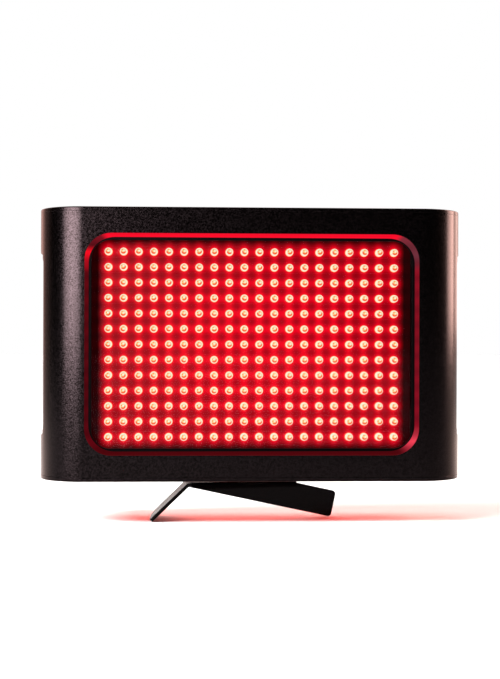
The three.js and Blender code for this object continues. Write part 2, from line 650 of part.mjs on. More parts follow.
// Tab and left foot, one folded strip seen along Y
function footFold() {
  const shape = new THREE.Shape();
  shape.moveTo(stand.tabRight, tabZ);
  shape.lineTo(stand.tabRight, tabTop);
  shape.absarc(bendX, tabZ - stand.bendRadius, bendOuter, Math.PI / 2, Math.PI / 2 + footAngle);
  shape.lineTo(toeX + stand.sheet * footOut.x, stand.sheet * footOut.z);
  shape.lineTo(toeX, 0);
  shape.absarc(bendX, tabZ - stand.bendRadius, stand.bendRadius, Math.PI / 2 + footAngle, Math.PI / 2, true);
  shape.closePath();
  const strip = backward(shape, 0, stand.footFrontY, 0, stand.footDepth, fine.bend);
  const frontAt = (x) => (
    stand.footFrontY + (x - stand.footX) * Math.tan(legTurn) + bendOuter / Math.cos(legTurn));
  const past = stand.tabRight + cutOverrun;
  const frontCut = polygon([
    [bendX, stand.footFrontY - cutOverrun], [past, stand.footFrontY - cutOverrun],
    [past, frontAt(past)], [bendX, frontAt(bendX)],
  ]);
  const toe = new THREE.Vector3(toeX, 0, 0);
  const rearStart = toe.clone().addScaledVector(footOut, stand.sheet + cutOverrun).setY(footRear);
  const frontStart = toe.clone().addScaledVector(footOut, -cutOverrun).setY(stand.footFrontY);
  return cut(strip, [
    upright(frontCut, tabZ - cutOverrun, stand.sheet + 2 * cutOverrun, 1),
    cornerCutter(stand.tabRadius).translate(stand.tabRight, footRear, tabZ - cutOverrun),
    place(cornerCutter(stand.footRearRadius), rearStart.toArray(), footDown, Y),
    place(cornerCutter(stand.footFrontRadius), frontStart.toArray(), footDown, Y.clone().negate()),
  ]);
}
function legPoint(u, back, z) {
  return [stand.footX + u * legU.x - back * legU.y, stand.footFrontY + u * legU.y + back * legU.x, z];
}
// Front leg: a right-angled fold along a slanted line, trimmed to a sloping bar with round end corners
function legFold() {
  const flangeEnd = bendOuter + stand.flange;
  const section = new THREE.Shape();
  section.moveTo(flangeEnd, tabZ);
  section.lineTo(flangeEnd, tabTop);
  section.absarc(bendOuter, tabZ - stand.bendRadius, bendOuter, Math.PI / 2, Math.PI);
  section.lineTo(0, -cutOverrun);
  section.lineTo(stand.sheet, -cutOverrun);
  section.absarc(bendOuter, tabZ - stand.bendRadius, stand.bendRadius, Math.PI, Math.PI / 2, true);
  section.closePath();
  const backWay = new THREE.Vector3(-legU.y, legU.x, 0);
  const fold = place(prism(section, legEndU, fine.bend), legPoint(0, 0, 0), backWay, Z);

  const r = stand.legCornerRadius;
  const along = new THREE.Vector2(Math.cos(legSlope), -Math.sin(legSlope));
  const across = new THREE.Vector2(Math.sin(legSlope), Math.cos(legSlope));
  const low = new THREE.Vector2(stand.legReach, 0).addScaledVector(along, -r).addScaledVector(across, r);
  const high = new THREE.Vector2(legEndU, legTopZ).addScaledVector(along, -r).addScaledVector(across, -r);
  const above = tabTop + cutOverrun;
  const side = new THREE.Shape();
  side.moveTo(stand.relief, tabZ - stand.relief * Math.tan(legSlope));
  side.absarc(low.x, low.y, r, -Math.PI / 2 - legSlope, -legSlope);
  side.absarc(high.x, high.y, r, -legSlope, Math.PI / 2 - legSlope);
  side.lineTo(legEndU - (above - legTopZ) / Math.tan(legSlope), above);
  side.lineTo(stand.relief, above);
  side.closePath();
  const trim = place(prism(side, flangeEnd + 2 * cutOverrun, fine.bend),
    legPoint(0, flangeEnd + cutOverrun, 0), legU, Z);
  return toSolid(fold).intersect(toSolid(trim));
}
function standPlate() {
  const hole = post(pivotHole, 0, pivot.y, tabZ - cutOverrun, stand.sheet + 2 * cutOverrun, fine.hub / 2);
  return footFold().add(legFold()).subtract(toSolid(hole));
}

// Pivot hardware
function pivotBolt() {
  const profile = [
    [0, 0], [pivot.headRadius, 0], [pivot.headRadius, pivot.headHeight],
    [pivot.boltRadius, pivot.headHeight], [pivot.boltRadius, pivot.headHeight + pivot.shankLength],
    [0, pivot.headHeight + pivot.shankLength],
  ];
  return new THREE.LatheGeometry(profile.map(([r, y]) => new THREE.Vector2(r, y)), fine.hub)
    .rotateX(Math.PI / 2).translate(0, pivot.y, tabZ - fitGap - pivot.headHeight);
}
function ringPost(radius, hole, bottom, height, sides) {
  return cut(post(radius, 0, pivot.y, bottom, height, sides),
    [post(hole, 0, pivot.y, bottom - cutOverrun, height + 2 * cutOverrun, fine.hub)]);
}

// Assembly
solidPiece('housing_shell', housingShell(), satinBlack, panel);
solidPiece('top_cap', endCap(true), capBlack, panel);
solidPiece('bottom_cap', endCap(false), capBlack, panel);
solidPiece('rear_cover', rearCover(), capBlack, panel);
solidPiece('window_bezel', ringPlate(), mouldedBlack, panel);
piece('front_lens', lensPlate(), clearAcrylic, panel);
solidPiece('led_board', ledBoard(), darkMask, panel);
for (let row = 0; row < led.rows; row += 1) {
  solidPiece(`led_row_${String(row + 1).padStart(2, '0')}`, ledRow(row), redEpoxy, panel);
}
piece('heat_sink', heatSink(), rawAluminium, panel);
spacerSpots.forEach((spot, i) => {
  solidPiece(`board_spacer_${i + 1}`, boardSpacer(spot), nylonWhite, panel);
  piece(`board_screw_${i + 1}`, boardScrew(spot), zincSteel, panel);
});
for (const [side, label] of [[-1, 'left'], [1, 'right']]) {
  solidPiece(`fan_frame_${label}`, fanFrame(side), mouldedBlack, panel);
  solidPiece(`fan_rotor_${label}`, fanRotor(side), mouldedBlack, panel);
}
piece('led_driver', driverCase(), rawAluminium, panel);
solidPiece('inlet_socket', inletSocket(), mouldedBlack, panel);
solidPiece('switch_frame', switchFrame(), mouldedBlack, panel);
const rockerMesh = piece('switch_rocker', rockerCap(), mouldedBlack, panel);
rockerMesh.position.set(rockerX, rockerPivotY, serviceZ);
rockerMesh.rotation.x = rocker.tilt * DEGREE;
capScrewSpots.forEach((spot, i) => {
  piece(`top_cap_screw_${i + 1}`, topCapScrew(spot), zincSteel, panel);
  piece(`bottom_cap_screw_${i + 1}`, bottomCapScrew(spot), zincSteel, panel);
});
coverScrewSpots.forEach((spot, i) => {
  piece(`rear_cover_screw_${i + 1}`, rearScrew(spot, screw.length), zincSteel, panel);
});
fanScrewSpots.forEach((spot, i) => {
  piece(`fan_screw_${i + 1}`, rearScrew(spot, fan.depth), zincSteel, panel);
});
solidPiece('pivot_nut', ringPost(nut.acrossRadius, pivot.boltRadius + fitGap, cap.thickness + fitGap,
  nut.height, fine.hole), zincSteel, panel);
solidPiece('swivel_stand', standPlate(), blackSteel, base);
piece('pivot_bolt', pivotBolt(), zincSteel, base);
solidPiece('pivot_washer', ringPost(washer.radius, pivotHole, tabZ + stand.sheet + fitGap,
  washer.thickness, fine.hub), nylonWhite, base);

// The footprint's middle becomes the origin, with the floor at z = 0.
rootGroup.updateMatrixWorld(true);
const extent = new THREE.Box3().setFromObject(rootGroup, true);
const centre = extent.getCenter(new THREE.Vector3());
rootGroup.position.set(-centre.x, -centre.y, -extent.min.z);

export default rootGroup;
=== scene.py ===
"""Desktop red light therapy panel: the finished pieces, materials and studio round its CAD frame."""

import math
from functools import partial

import bmesh
import bpy
from bpy.props import FloatProperty, FloatVectorProperty, IntProperty, PointerProperty
from mathutils import Matrix, Vector


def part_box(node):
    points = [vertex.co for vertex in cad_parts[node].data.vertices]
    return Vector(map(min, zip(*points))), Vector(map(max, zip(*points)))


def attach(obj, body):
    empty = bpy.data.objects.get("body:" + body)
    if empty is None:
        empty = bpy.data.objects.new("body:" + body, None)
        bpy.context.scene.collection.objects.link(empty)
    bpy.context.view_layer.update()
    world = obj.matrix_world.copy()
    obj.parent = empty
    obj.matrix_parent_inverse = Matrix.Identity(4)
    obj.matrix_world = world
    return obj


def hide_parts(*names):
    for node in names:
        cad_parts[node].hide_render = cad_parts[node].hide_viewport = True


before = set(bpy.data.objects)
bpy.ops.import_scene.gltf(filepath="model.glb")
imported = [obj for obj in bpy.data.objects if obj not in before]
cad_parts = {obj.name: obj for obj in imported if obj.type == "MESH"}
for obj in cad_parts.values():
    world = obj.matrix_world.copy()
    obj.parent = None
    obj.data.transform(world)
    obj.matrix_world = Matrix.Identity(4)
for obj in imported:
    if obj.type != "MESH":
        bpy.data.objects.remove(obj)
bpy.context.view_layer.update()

bl_info = {
    "name": "Red light therapy panel",
    "version": (1, 0, 0),
    "blender": (4, 5, 0),
    "location": "3D View > Sidebar > Light panel",
    "description": "Models the finished pieces of a desktop red light therapy panel",
    "category": "Add Mesh",
}

MM = 0.001
# How far a cutter reaches past what it cuts.
CLEAR = 2 * MM
# Two places closer than this are one place.
HAIR = 0.01 * MM
# A slot's end is rounded by this much of half its width, so that its two rounds stay apart.
ROUND_END = 0.998
# Facets round a front corner of shell and caps, alike so that their edges line up.
SHELL_STEPS = 28
# Height of a screw's head.
SCREW_HEAD = 1.4 * MM
AXES = {"X": Vector((1, 0, 0)), "Y": Vector((0, 1, 0)), "Z": Vector((0, 0, 1))}

SHELL_LOW, SHELL_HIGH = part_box("housing_shell")
FRONT_Y = SHELL_LOW.y
REAR_Y = SHELL_HIGH.y
HALF_WIDTH = SHELL_HIGH.x
MID_Z = (SHELL_LOW.z + SHELL_HIGH.z) / 2
LED_ROWS = sorted(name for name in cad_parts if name.startswith("led_row_"))
ROW_STEP = (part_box(LED_ROWS[0])[0].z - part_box(LED_ROWS[-1])[0].z) / (len(LED_ROWS) - 1)
# The finished materials by short name, filled in by make_materials.
MATERIALS = {}
# For a MapRange node that eases in and out.
SMOOTH = {"interpolation_type": "SMOOTHSTEP"}


# Settings

def length_mm(label, about, millimetres):
    """Length setting, its default in millimetres."""
    return FloatProperty(name=label, description=about, default=millimetres * MM, unit="LENGTH")


def angle_deg(label, about, degrees):
    """Angle setting, its default in degrees."""
    return FloatProperty(
        name=label, description=about, default=math.radians(degrees), subtype="ANGLE")


def power_watt(label, about, watts):
    """Lamp power setting."""
    return FloatProperty(name=label, description="Power of " + about, default=watts, unit="POWER")


def linear(code):
    """sRGB hex code to a linear colour."""
    parts = [int(code[i:i + 2], 16) / 255 for i in (1, 3, 5)]
    return tuple(p / 12.92 if p <= 0.04045 else ((p + 0.055) / 1.055) ** 2.4 for p in parts) + (1.0,)


def colour_hex(label, about, code):
    """Colour setting, its default an sRGB hex code."""
    return FloatVectorProperty(
        name=label, description="Colour of " + about, default=linear(code), subtype="COLOR", size=4,
        min=0, max=1)


class HousingSizes(bpy.types.PropertyGroup):
    """Sizes of the extruded housing and its caps."""

    front_radius: length_mm("Front corner radius", "Radius of the wide upright front corners", 30)
    rear_radius: length_mm("Rear corner radius", "Radius of the tight upright rear corners", 8)
    front_wall: length_mm("Front wall", "Thickness of the wall that holds the window", 3)
    side_wall: length_mm("Side wall", "Thickness of the vented side walls", 6)
    lip_thickness: length_mm("Rear lip thickness", "Thickness of the lips round the cover", 5)
    lip_reach: length_mm("Rear lip reach", "Width of each rear lip from the housing's side", 21)
    edge_break: length_mm("Edge break", "Small round on every machined edge", 0.25)
    cap_round: length_mm("Cap round", "Round on the outer edge of each cap", 0.9)
    window_width: length_mm("Window width", "Width of the window at the front face", 216)
    window_height: length_mm("Window height", "Height of the window at the front face", 143)
    window_radius: length_mm("Window radius", "Corner radius of the window", 16)
    window_taper: length_mm("Window taper", "Lean of each window wall over the front wall", 2.4)
    scoop_length: length_mm("Scoop length", "Height of the shallow scoop in each side", 127)
    scoop_ramp: length_mm("Scoop ramp", "Height over which the scoop eases in", 11)
    scoop_depth: length_mm("Scoop depth", "Depth of the scoop", 2.8)
    vent_drop: length_mm("Vent drop", "How far scoop and vents sit below the middle", 0.2)
    vent_count: IntProperty(
        name="Vents", description="Number of vent slots in each side", default=12, min=1)
    vent_pitch: length_mm("Vent pitch", "Distance from one vent to the next", 10.4)
    vent_height: length_mm("Vent height", "Height of a vent slot", 4.3)
    vent_front: length_mm("Vent front", "Distance of the vents from the front face", 18.5)
    vent_rear: length_mm("Vent rear", "Distance of the vents from the rear face", 8)


class LightSizes(bpy.types.PropertyGroup):
    """Sizes of the light engine behind the window."""

    columns: IntProperty(name="Columns", description="Number of LEDs in a row", default=20, min=2)
    column_step: length_mm("Column step", "Distance from one LED to the next in a row", 9.85)
    flange_radius: length_mm("Flange radius", "Radius of an LED's base flange", 2.8)
    body_radius: length_mm("Body radius", "Radius of an LED's body", 2.4)
    bezel_radius: length_mm("Bezel radius", "Outer corner radius of the window bezel", 14)
    opening_width: length_mm("Opening width", "Width of the opening in the bezel", 207.6)
    opening_height: length_mm("Opening height", "Height of the opening in the bezel", 134.5)
    opening_radius: length_mm("Opening radius", "Corner radius of the bezel's opening", 12)
    board_radius: length_mm("Board radius", "Corner radius of the LED board", 5)
    edge_break: length_mm("Edge break", "Small round on the edges of the bezel", 0.25)


class RearSizes(bpy.types.PropertyGroup):
    """Sizes of what shows at the back."""

    grille_radius: length_mm("Grille radius", "Radius of the round grille over each fan", 35)
    slot_width: length_mm("Slot width", "Width of a grille slot", 4.4)
    slot_pitch: length_mm("Slot pitch", "Distance from one grille slot to the next", 8)
    slot_count: IntProperty(
        name="Slots", description="Number of slots in a grille", default=9, min=1)
    flange_radius: length_mm("Flange radius", "Corner radius of the inlet's flange", 2)
    screw_recess: length_mm("Screw recess", "Span of the cross recess in a screw head", 3)
    edge_break: length_mm("Edge break", "Small round on the edges of cover and switch", 0.25)


class StandSizes(bpy.types.PropertyGroup):
    """Sizes of the folded sheet that the panel stands on."""

    sheet: length_mm("Sheet", "Thickness of the steel sheet", 2.3)
    bend_radius: length_mm("Bend radius", "Inner radius of each fold", 2)
    edge_break: length_mm("Edge break", "Small round on the edges of the sheet", 0.35)
    foot_reach: length_mm("Foot reach", "Distance from the fold to the left foot's toe", 23.7)
    foot_x: length_mm("Fold place", "Place of the left fold along the housing", -41)
    foot_depth: length_mm("Foot depth", "Depth of the foot from front to rear", 35)
    rear_round: length_mm("Rear round", "Radius of the foot's rear corner", 12)
    front_round: length_mm("Front round", "Radius of the foot's front corner", 1.5)
    tab_right: length_mm("Tab end", "Right end of the flat tab", 31)
    tab_round: length_mm("Tab round", "Radius of the tab's free corner", 9)
    leg_angle: angle_deg("Leg angle", "Turn of the front leg in plan", 13.9)
    leg_reach: length_mm("Leg reach", "Length of the front leg along the floor", 98)
    leg_height: length_mm("Leg height", "Height of the leg's bar", 17.5)
    leg_round: length_mm("Leg round", "Radius of the leg's end corners", 2.4)
    relief: length_mm("Relief", "Notch between the two folds", 1.5)
    flange: length_mm("Flange", "Flat strip behind the leg's fold", 4)
    hole_radius: length_mm("Pivot hole", "Radius of the pivot hole", 3.4)


class FinishColours(bpy.types.PropertyGroup):
    """Colours of the outer finishes, each mottled between a dark and a light one."""

    housing_dark: colour_hex("Housing, dark", "the darker grain of shell and caps", "#080606")
    housing_light: colour_hex("Housing, light", "the lighter grain of shell and caps", "#171314")
    cover_dark: colour_hex("Cover, dark", "the darker grain of the rear cover", "#0c0b0c")
    cover_light: colour_hex("Cover, light", "the lighter grain of the rear cover", "#141213")
    stand_dark: colour_hex("Stand, dark", "the darker grain of the stand", "#050304")
    stand_light: colour_hex("Stand, light", "the lighter grain of the stand", "#090606")


class StudioSettings(bpy.types.PropertyGroup):
    """Lamps and camera of the studio."""

    camera_place: FloatVectorProperty(
        name="Camera", description="Place of the camera", subtype="TRANSLATION",
        default=(-0.0396, -0.8688, 0.1167))
    camera_yaw: angle_deg("Yaw", "Turn of the camera to the right", 2.59)
    camera_pitch: angle_deg("Pitch", "Tilt of the camera upwards", 0.14)
    camera_roll: angle_deg("Roll", "Roll of the camera", 0.14)
    camera_lens: FloatProperty(
        name="Lens", description="Focal length for a 36 mm long side", default=68.92, unit="CAMERA")
    table_strength: FloatProperty(
        name="Table light", description="Strength of the broad light on the table", default=3.2)
    side_power: power_watt("Table side light", "the light from the left on the table", 22)
    warm_power: power_watt("Table warm light", "the light from the right on the table", 8)
    bounce_power: power_watt("Table bounce", "the light from behind on the table", 4)
    top_power: power_watt("Top lamp", "the weak lamp overhead", 2)
    left_power: power_watt("Left lamp", "the soft box at the left", 25.5)
    rim_power: power_watt("Left rim lamp", "the lamp behind on the left", 1.2)
    right_power: power_watt("Right lamp", "the warm soft box at the right", 34)
    edge_power: power_watt("Right edge lamp", "the lamp behind on the right", 4)
    glow_power: power_watt("Floor glow", "the red light on the table", 0.07)


# Modelling helpers

def centre_of(node):
    """Middle of a CAD node's box."""
    low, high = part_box(node)
    return (low + high) / 2


def deselect():
    """Clear the selection, which the loaded frame leaves on its nodes."""
    if bpy.context.object and bpy.context.object.mode != "OBJECT":
        bpy.ops.object.mode_set(mode="OBJECT")
    bpy.ops.object.select_all(action="DESELECT")


def activate(piece):
    """Select one piece alone and make it active."""
    deselect()
    piece.select_set(True)
    bpy.context.view_layer.objects.active = piece


def apply_place(piece):
    """Put the object at the origin, unturned and unscaled, with its place in its mesh."""
    activate(piece)
    bpy.ops.object.transform_apply(location=True, rotation=True, scale=True)
    return piece


def add_block(name, low, high):
    """Rectangular block between two corners."""
    low, high = Vector(low), Vector(high)
    deselect()
    bpy.ops.mesh.primitive_cube_add(size=1, location=(low + high) / 2)
    block = bpy.context.object
    block.name = block.data.name = name
    block.scale = high - low
    return apply_place(block)


def add_plate(name, low, high, radius, segments, axis="Y"):
    """Block with the four edges along one axis rounded."""
    return round_edges(
        add_block(name, low, high), lambda edge: runs_along(edge, axis), radius, segments)


def add_rod(name, radius, start, end, sides=32):
    """Round rod from one point to another."""
    start, end = Vector(start), Vector(end)
    deselect()
    bpy.ops.mesh.primitive_cylinder_add(
        vertices=sides, radius=radius, depth=(end - start).length, location=(start + end) / 2)
    rod = bpy.context.object
    rod.name = rod.data.name = name
    rod.rotation_mode = "QUATERNION"
    rod.rotation_quaternion = (end - start).to_track_quat("Z", "Y")
    return apply_place(rod)


def pick(piece, kind, test=lambda part: True):
    """Open the piece in edit mode with just the parts that pass the test selected."""
    activate(piece)
    bpy.ops.object.mode_set(mode="EDIT")
    bpy.ops.mesh.select_mode(type=kind)
    bpy.ops.mesh.select_all(action="DESELECT")
    mesh = bmesh.from_edit_mesh(piece.data)
    for part in {"VERT": mesh.verts, "EDGE": mesh.edges, "FACE": mesh.faces}[kind]:
        if test(part):
            part.select_set(True)
    mesh.select_flush_mode()
    bmesh.update_edit_mesh(piece.data)


def leave_edit():
    """Back to object mode."""
    bpy.ops.object.mode_set(mode="OBJECT")


def middle(edge):
    """Midpoint of an edge."""
    return (edge.verts[0].co + edge.verts[1].co) / 2


def runs_along(edge, axis):
    """True for an edge parallel to the named axis."""
    way = edge.verts[1].co - edge.verts[0].co
    return way.length > 0 and abs(way.normalized().dot(AXES[axis])) > 0.999


def round_edges(piece, test, radius, segments):
    """Round the edges that pass the test."""
    pick(piece, "EDGE", test)
    bpy.ops.mesh.bevel(offset=radius, offset_type="OFFSET", segments=segments, profile=0.5)
    leave_edit()
    return piece


def slice_through(piece, point, normal, **options):
    """Cut every face of the piece along a plane."""
    pick(piece, "FACE")
    bpy.ops.mesh.bisect(plane_co=point, plane_no=normal, **options)
    leave_edit()


def apply_modifier(piece, name, kind, **values):
    """Add one modifier, set it and apply it."""
    modifier = piece.modifiers.new(name, kind)
    for key, value in values.items():
        setattr(modifier, key, value)
    activate(piece)
    bpy.ops.object.modifier_apply(modifier=modifier.name)
    return piece


def join(pieces, name):
    """Join several objects into the first."""
    deselect()
    for piece in pieces:
        piece.select_set(True)
    bpy.context.view_layer.objects.active = pieces[0]
    bpy.ops.object.join()
    pieces[0].name = pieces[0].data.name = name
    return pieces[0]


def carve(piece, cutters, operation="DIFFERENCE"):
    """Cut the piece with each cutter in turn and delete the cutter."""
    for cutter in cutters:
        apply_modifier(piece, "cut", "BOOLEAN", object=cutter, solver="EXACT", operation=operation)
        bpy.data.objects.remove(cutter)
    return piece


def copy_piece(piece, name, matrix):
    """Copy of a piece with its own mesh, moved by the matrix."""
    made = piece.copy()
    made.data = piece.data.copy()
    made.data.transform(matrix)
    made.name = made.data.name = name
    bpy.context.scene.collection.objects.link(made)
    return made


def soften(piece, width, segments=3):
    """Break the sharp edges and shade the piece smooth, with its flat faces kept flat."""
    pick(piece, "FACE")
    bpy.ops.mesh.remove_doubles(threshold=0.002 * MM)
    bpy.ops.mesh.dissolve_limited(angle_limit=math.radians(0.5))
    bpy.ops.mesh.normals_make_consistent(inside=False)
    leave_edit()
    apply_modifier(
        piece, "edge break", "BEVEL", width=width, segments=segments, limit_method="ANGLE",
        angle_limit=math.radians(20), use_clamp_overlap=True)
    activate(piece)
    bpy.ops.object.shade_smooth_by_angle(angle=math.radians(36))
    return apply_modifier(piece, "flat faces", "WEIGHTED_NORMAL", weight=80, keep_sharp=True)


def dress(piece, finishes, index=0):
    """Give a piece its materials and put all its faces in one of them."""
    piece.data.materials.clear()
    for finish in finishes:
        piece.data.materials.append(MATERIALS[finish])
    piece.data.polygons.foreach_set("material_index", [index] * len(piece.data.polygons))


def settle(piece, body, slot, *nodes):
    """Give a finished piece its body and hide the CAD nodes that it stands for; slot is not used."""
    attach(piece, body)
    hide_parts(*nodes)


# Materials

def feed(owner, node, inputs):
    """Set or link a node's inputs; a node given as an input stands for its first output in use."""
    for key, value in inputs.items():
        if isinstance(value, bpy.types.Node):
            value = next(output for output in value.outputs if output.enabled)
        if isinstance(value, bpy.types.NodeSocket):
            owner.node_tree.links.new(value, node.inputs[key])
        else:
            node.inputs[key].default_value = value


def add_node(owner, kind, inputs=None, stops=(), reach=1.0, **values):
    """Add a node with its settings and links; stops are (distance, hex) of a ramp up to the reach."""
    made = owner.node_tree.nodes.new("ShaderNode" + kind)
    for key, value in values.items():
        setattr(made, key, value)
    feed(owner, made, inputs or {})
    if stops:
        elements = made.color_ramp.elements
        elements.remove(elements[-1])
        for i, (distance, code) in enumerate(stops):
            element = elements[0] if i == 0 else elements.new(distance / reach)
            element.position = distance / reach
            element.color = linear(code)
    return made


def new_material(name, inputs=None):
    """Material with a Principled shader and the sockets that are the same all over."""
    material = bpy.data.materials.new(name)
    material.use_nodes = True
    shader = material.node_tree.nodes["Principled BSDF"]
    feed(material, shader, inputs or {})
    return material, shader


def grain(material, shader, size, dark, light, rough, bump, detail=3.0):
    """Fine mottling between two linear colours, with a matching bump; size is the grain in metres."""
    node = partial(add_node, material)
    place = node("TexCoord")
    noise = node("TexNoise", {
        "Vector": place.outputs["Object"], "Scale": 1 / size, "Detail": detail, "Roughness": 0.6})
    speck = node("MapRange", {"Value": noise, "From Min": 0.36, "From Max": 0.64})
    blend = node("Mix", {0: speck, 6: dark, 7: light}, data_type="RGBA")
    spread = node("MapRange", {"Value": speck, "To Min": rough[0], "To Max": rough[1]})
    relief = node("Bump", {"Height": noise, "Strength": bump, "Distance": size * 0.5})
    feed(material, shader, {"Base Color": blend, "Roughness": spread, "Normal": relief})


def anodised_black(name):
    """Bead-blasted aluminium, anodised black: dark metal with a fine sparkle in its highlights."""
    colours = bpy.context.scene.panel_colours
    material, shader = new_material(name, {"Metallic": 1.0, "Specular Tint": linear("#f4e8e5")})
    # Blasting grit is about 0.1 mm; drawn at 0.9 mm so that it shows.
    grain(material, shader, 0.9 * MM, colours.housing_dark, colours.housing_light, (0.18, 0.27), 0.04,
          detail=2.0)
    return material


def powder_coat(name, dark, light, level, rough):
    """Baked black powder coat: satin plastic skin over steel with a shallow orange peel."""
    material, shader = new_material(name, {"Metallic": 0.0, "IOR": 1.5, "Specular IOR Level": level})
    grain(material, shader, 1.1 * MM, dark, light, rough, 0.1)
    return material


def moulded_plastic(name, dark, light):
    """Injection-moulded plastic with a spark-eroded matt skin, its pits about 0.5 mm apart."""
    material, shader = new_material(name, {"IOR": 1.53, "Specular IOR Level": 0.3})
    grain(material, shader, 0.5 * MM, linear(dark), linear(light), (0.5, 0.65), 0.2)
    return material


def raw_metal(name, dark, light, rough):
    """Bare metal, extruded or plated, clouded by handling and plating at about 1.6 mm."""
    material, shader = new_material(name, {"Metallic": 1.0})
    grain(material, shader, 1.6 * MM, linear(dark), linear(light), rough, 0.15)
    return material


def matt_bezel():
    """Deep matt black moulded ring, which hardly reflects anything."""
    material, shader = new_material("matt black moulded bezel", {"Specular IOR Level": 0.01})
    grain(material, shader, 0.5 * MM, linear("#040203"), linear("#080506"), (0.4, 0.5), 0.1)
    return material


def wall_with_painted_red_light():
    """Black anodised window wall with the LEDs' red light painted on, most along the top."""
    sizes = bpy.context.scene.panel_housing
    material, shader = new_material("black anodised window wall with painted red light", {"Specular IOR Level": 0.01})
    grain(material, shader, 0.75 * MM, linear("#030102"), linear("#080405"), (0.45, 0.55), 0.1)
    node = partial(add_node, material)
    place = node("TexCoord")
    spot = node("SeparateXYZ", {0: place.outputs["Object"]})
    facing = node("SeparateXYZ", {0: place.outputs["Normal"]})
    top = MID_Z + sizes.window_height / 2
    drop = node("MapRange", {
        "Value": spot.outputs["Z"], "From Min": top, "From Max": top - sizes.window_height})
    # Painted red light: the first two LED rows paint the left wall most; the right wall is painted lit
    # all the way down. The distances are millimetres below the window's top edge.
    height = sizes.window_height / MM
    left = node("ValToRGB", {0: drop}, reach=height, stops=(
        (0.0, "#7c0e1c"), (8.0, "#5a0a14"), (12.0, "#f0081e"), (17.5, "#c00a1e"), (25.0, "#5c040e"),
        (110.0, "#4a020a"), (height, "#5a040e")))
    right = node("ValToRGB", {0: drop}, reach=height, stops=(
        (0.0, "#7c2430"), (14.0, "#642a36"), (24.0, "#860a1e"), (60.0, "#7a081a"),
        (124.0, "#7e081c"), (134.0, "#e13c50"), (height, "#a01428")))
    # One wall's colour goes over into the other's along the top and bottom walls.
    side = 0.9 * (sizes.window_width / 2)
    across = node("MapRange", {"Value": spot.outputs["X"], "From Min": -side, "From Max": side})
    lit = node("Mix", {0: across, 6: left, 7: right}, data_type="RGBA")
    # The top wall is painted brightest, as if lit by the LEDs it looks down at; the bottom wall, which
    # looks up, is painted in dim shade. Each takes its own colour as its normal's Z goes from one
    # limit to the other.
    for start, end, code in ((-0.62, -0.735, "#f60828"), (0.45, 0.7, "#4c040a")):
        turned = node(
            "MapRange", {"Value": facing.outputs["Z"], "From Min": start, "From Max": end}, **SMOOTH)
        lit = node("Mix", {0: turned, 6: lit, 7: linear(code)}, data_type="RGBA")
    # Each LED row leaves its own painted patch of light.
    phase = node("Math", {0: spot.outputs["Z"], 1: 2 * math.pi / ROW_STEP}, operation="MULTIPLY")
    wave = node("Math", {0: phase}, operation="SINE")
    painted_row_patches = node("MapRange", {"Value": wave, "From Min": -1.0, "To Min": 0.85, "To Max": 1.15})
    # The wall glows by emission: the LEDs' red light is painted on, and no lamp casts it.
    feed(material, shader, {"Emission Color": lit, "Emission Strength": painted_row_patches})
    return material


def led_grid():
    """The grid of LEDs along each axis: axis, step, count and middle."""
    sizes = bpy.context.scene.panel_light
    return ("X", sizes.column_step, sizes.columns, 0.0), ("Z", ROW_STEP, len(LED_ROWS), MID_Z)


def led_distance(node):
    """Millimetres from the nearest LED's axis, the offset along X and Z, and that LED's number."""
    place = node("TexCoord")
    split = node("SeparateXYZ", {0: place.outputs["Object"]})
    offsets, numbers = [], []
    for axis, step, count, centre in led_grid():
        first = centre - (count - 1) / 2 * step
        steps = node("MapRange", clamp=False, inputs={
            "Value": split.outputs[axis], "From Min": first, "From Max": first + step})
        nearest = node("Math", {0: steps}, operation="ROUND")
        number = node("Clamp", {0: nearest, 1: 0.0, 2: count - 1.0})
        off = node("Math", {0: steps, 1: number}, operation="SUBTRACT")
        offsets.append(node("Math", {0: off, 1: step / MM}, operation="MULTIPLY"))
        numbers.append(number)
    offset = node("CombineXYZ", {0: offsets[0], 1: offsets[1]})
    distance = node("VectorMath", {0: offset}, operation="LENGTH")
    return distance, offset, node("CombineXYZ", {0: numbers[0], 1: numbers[1]})


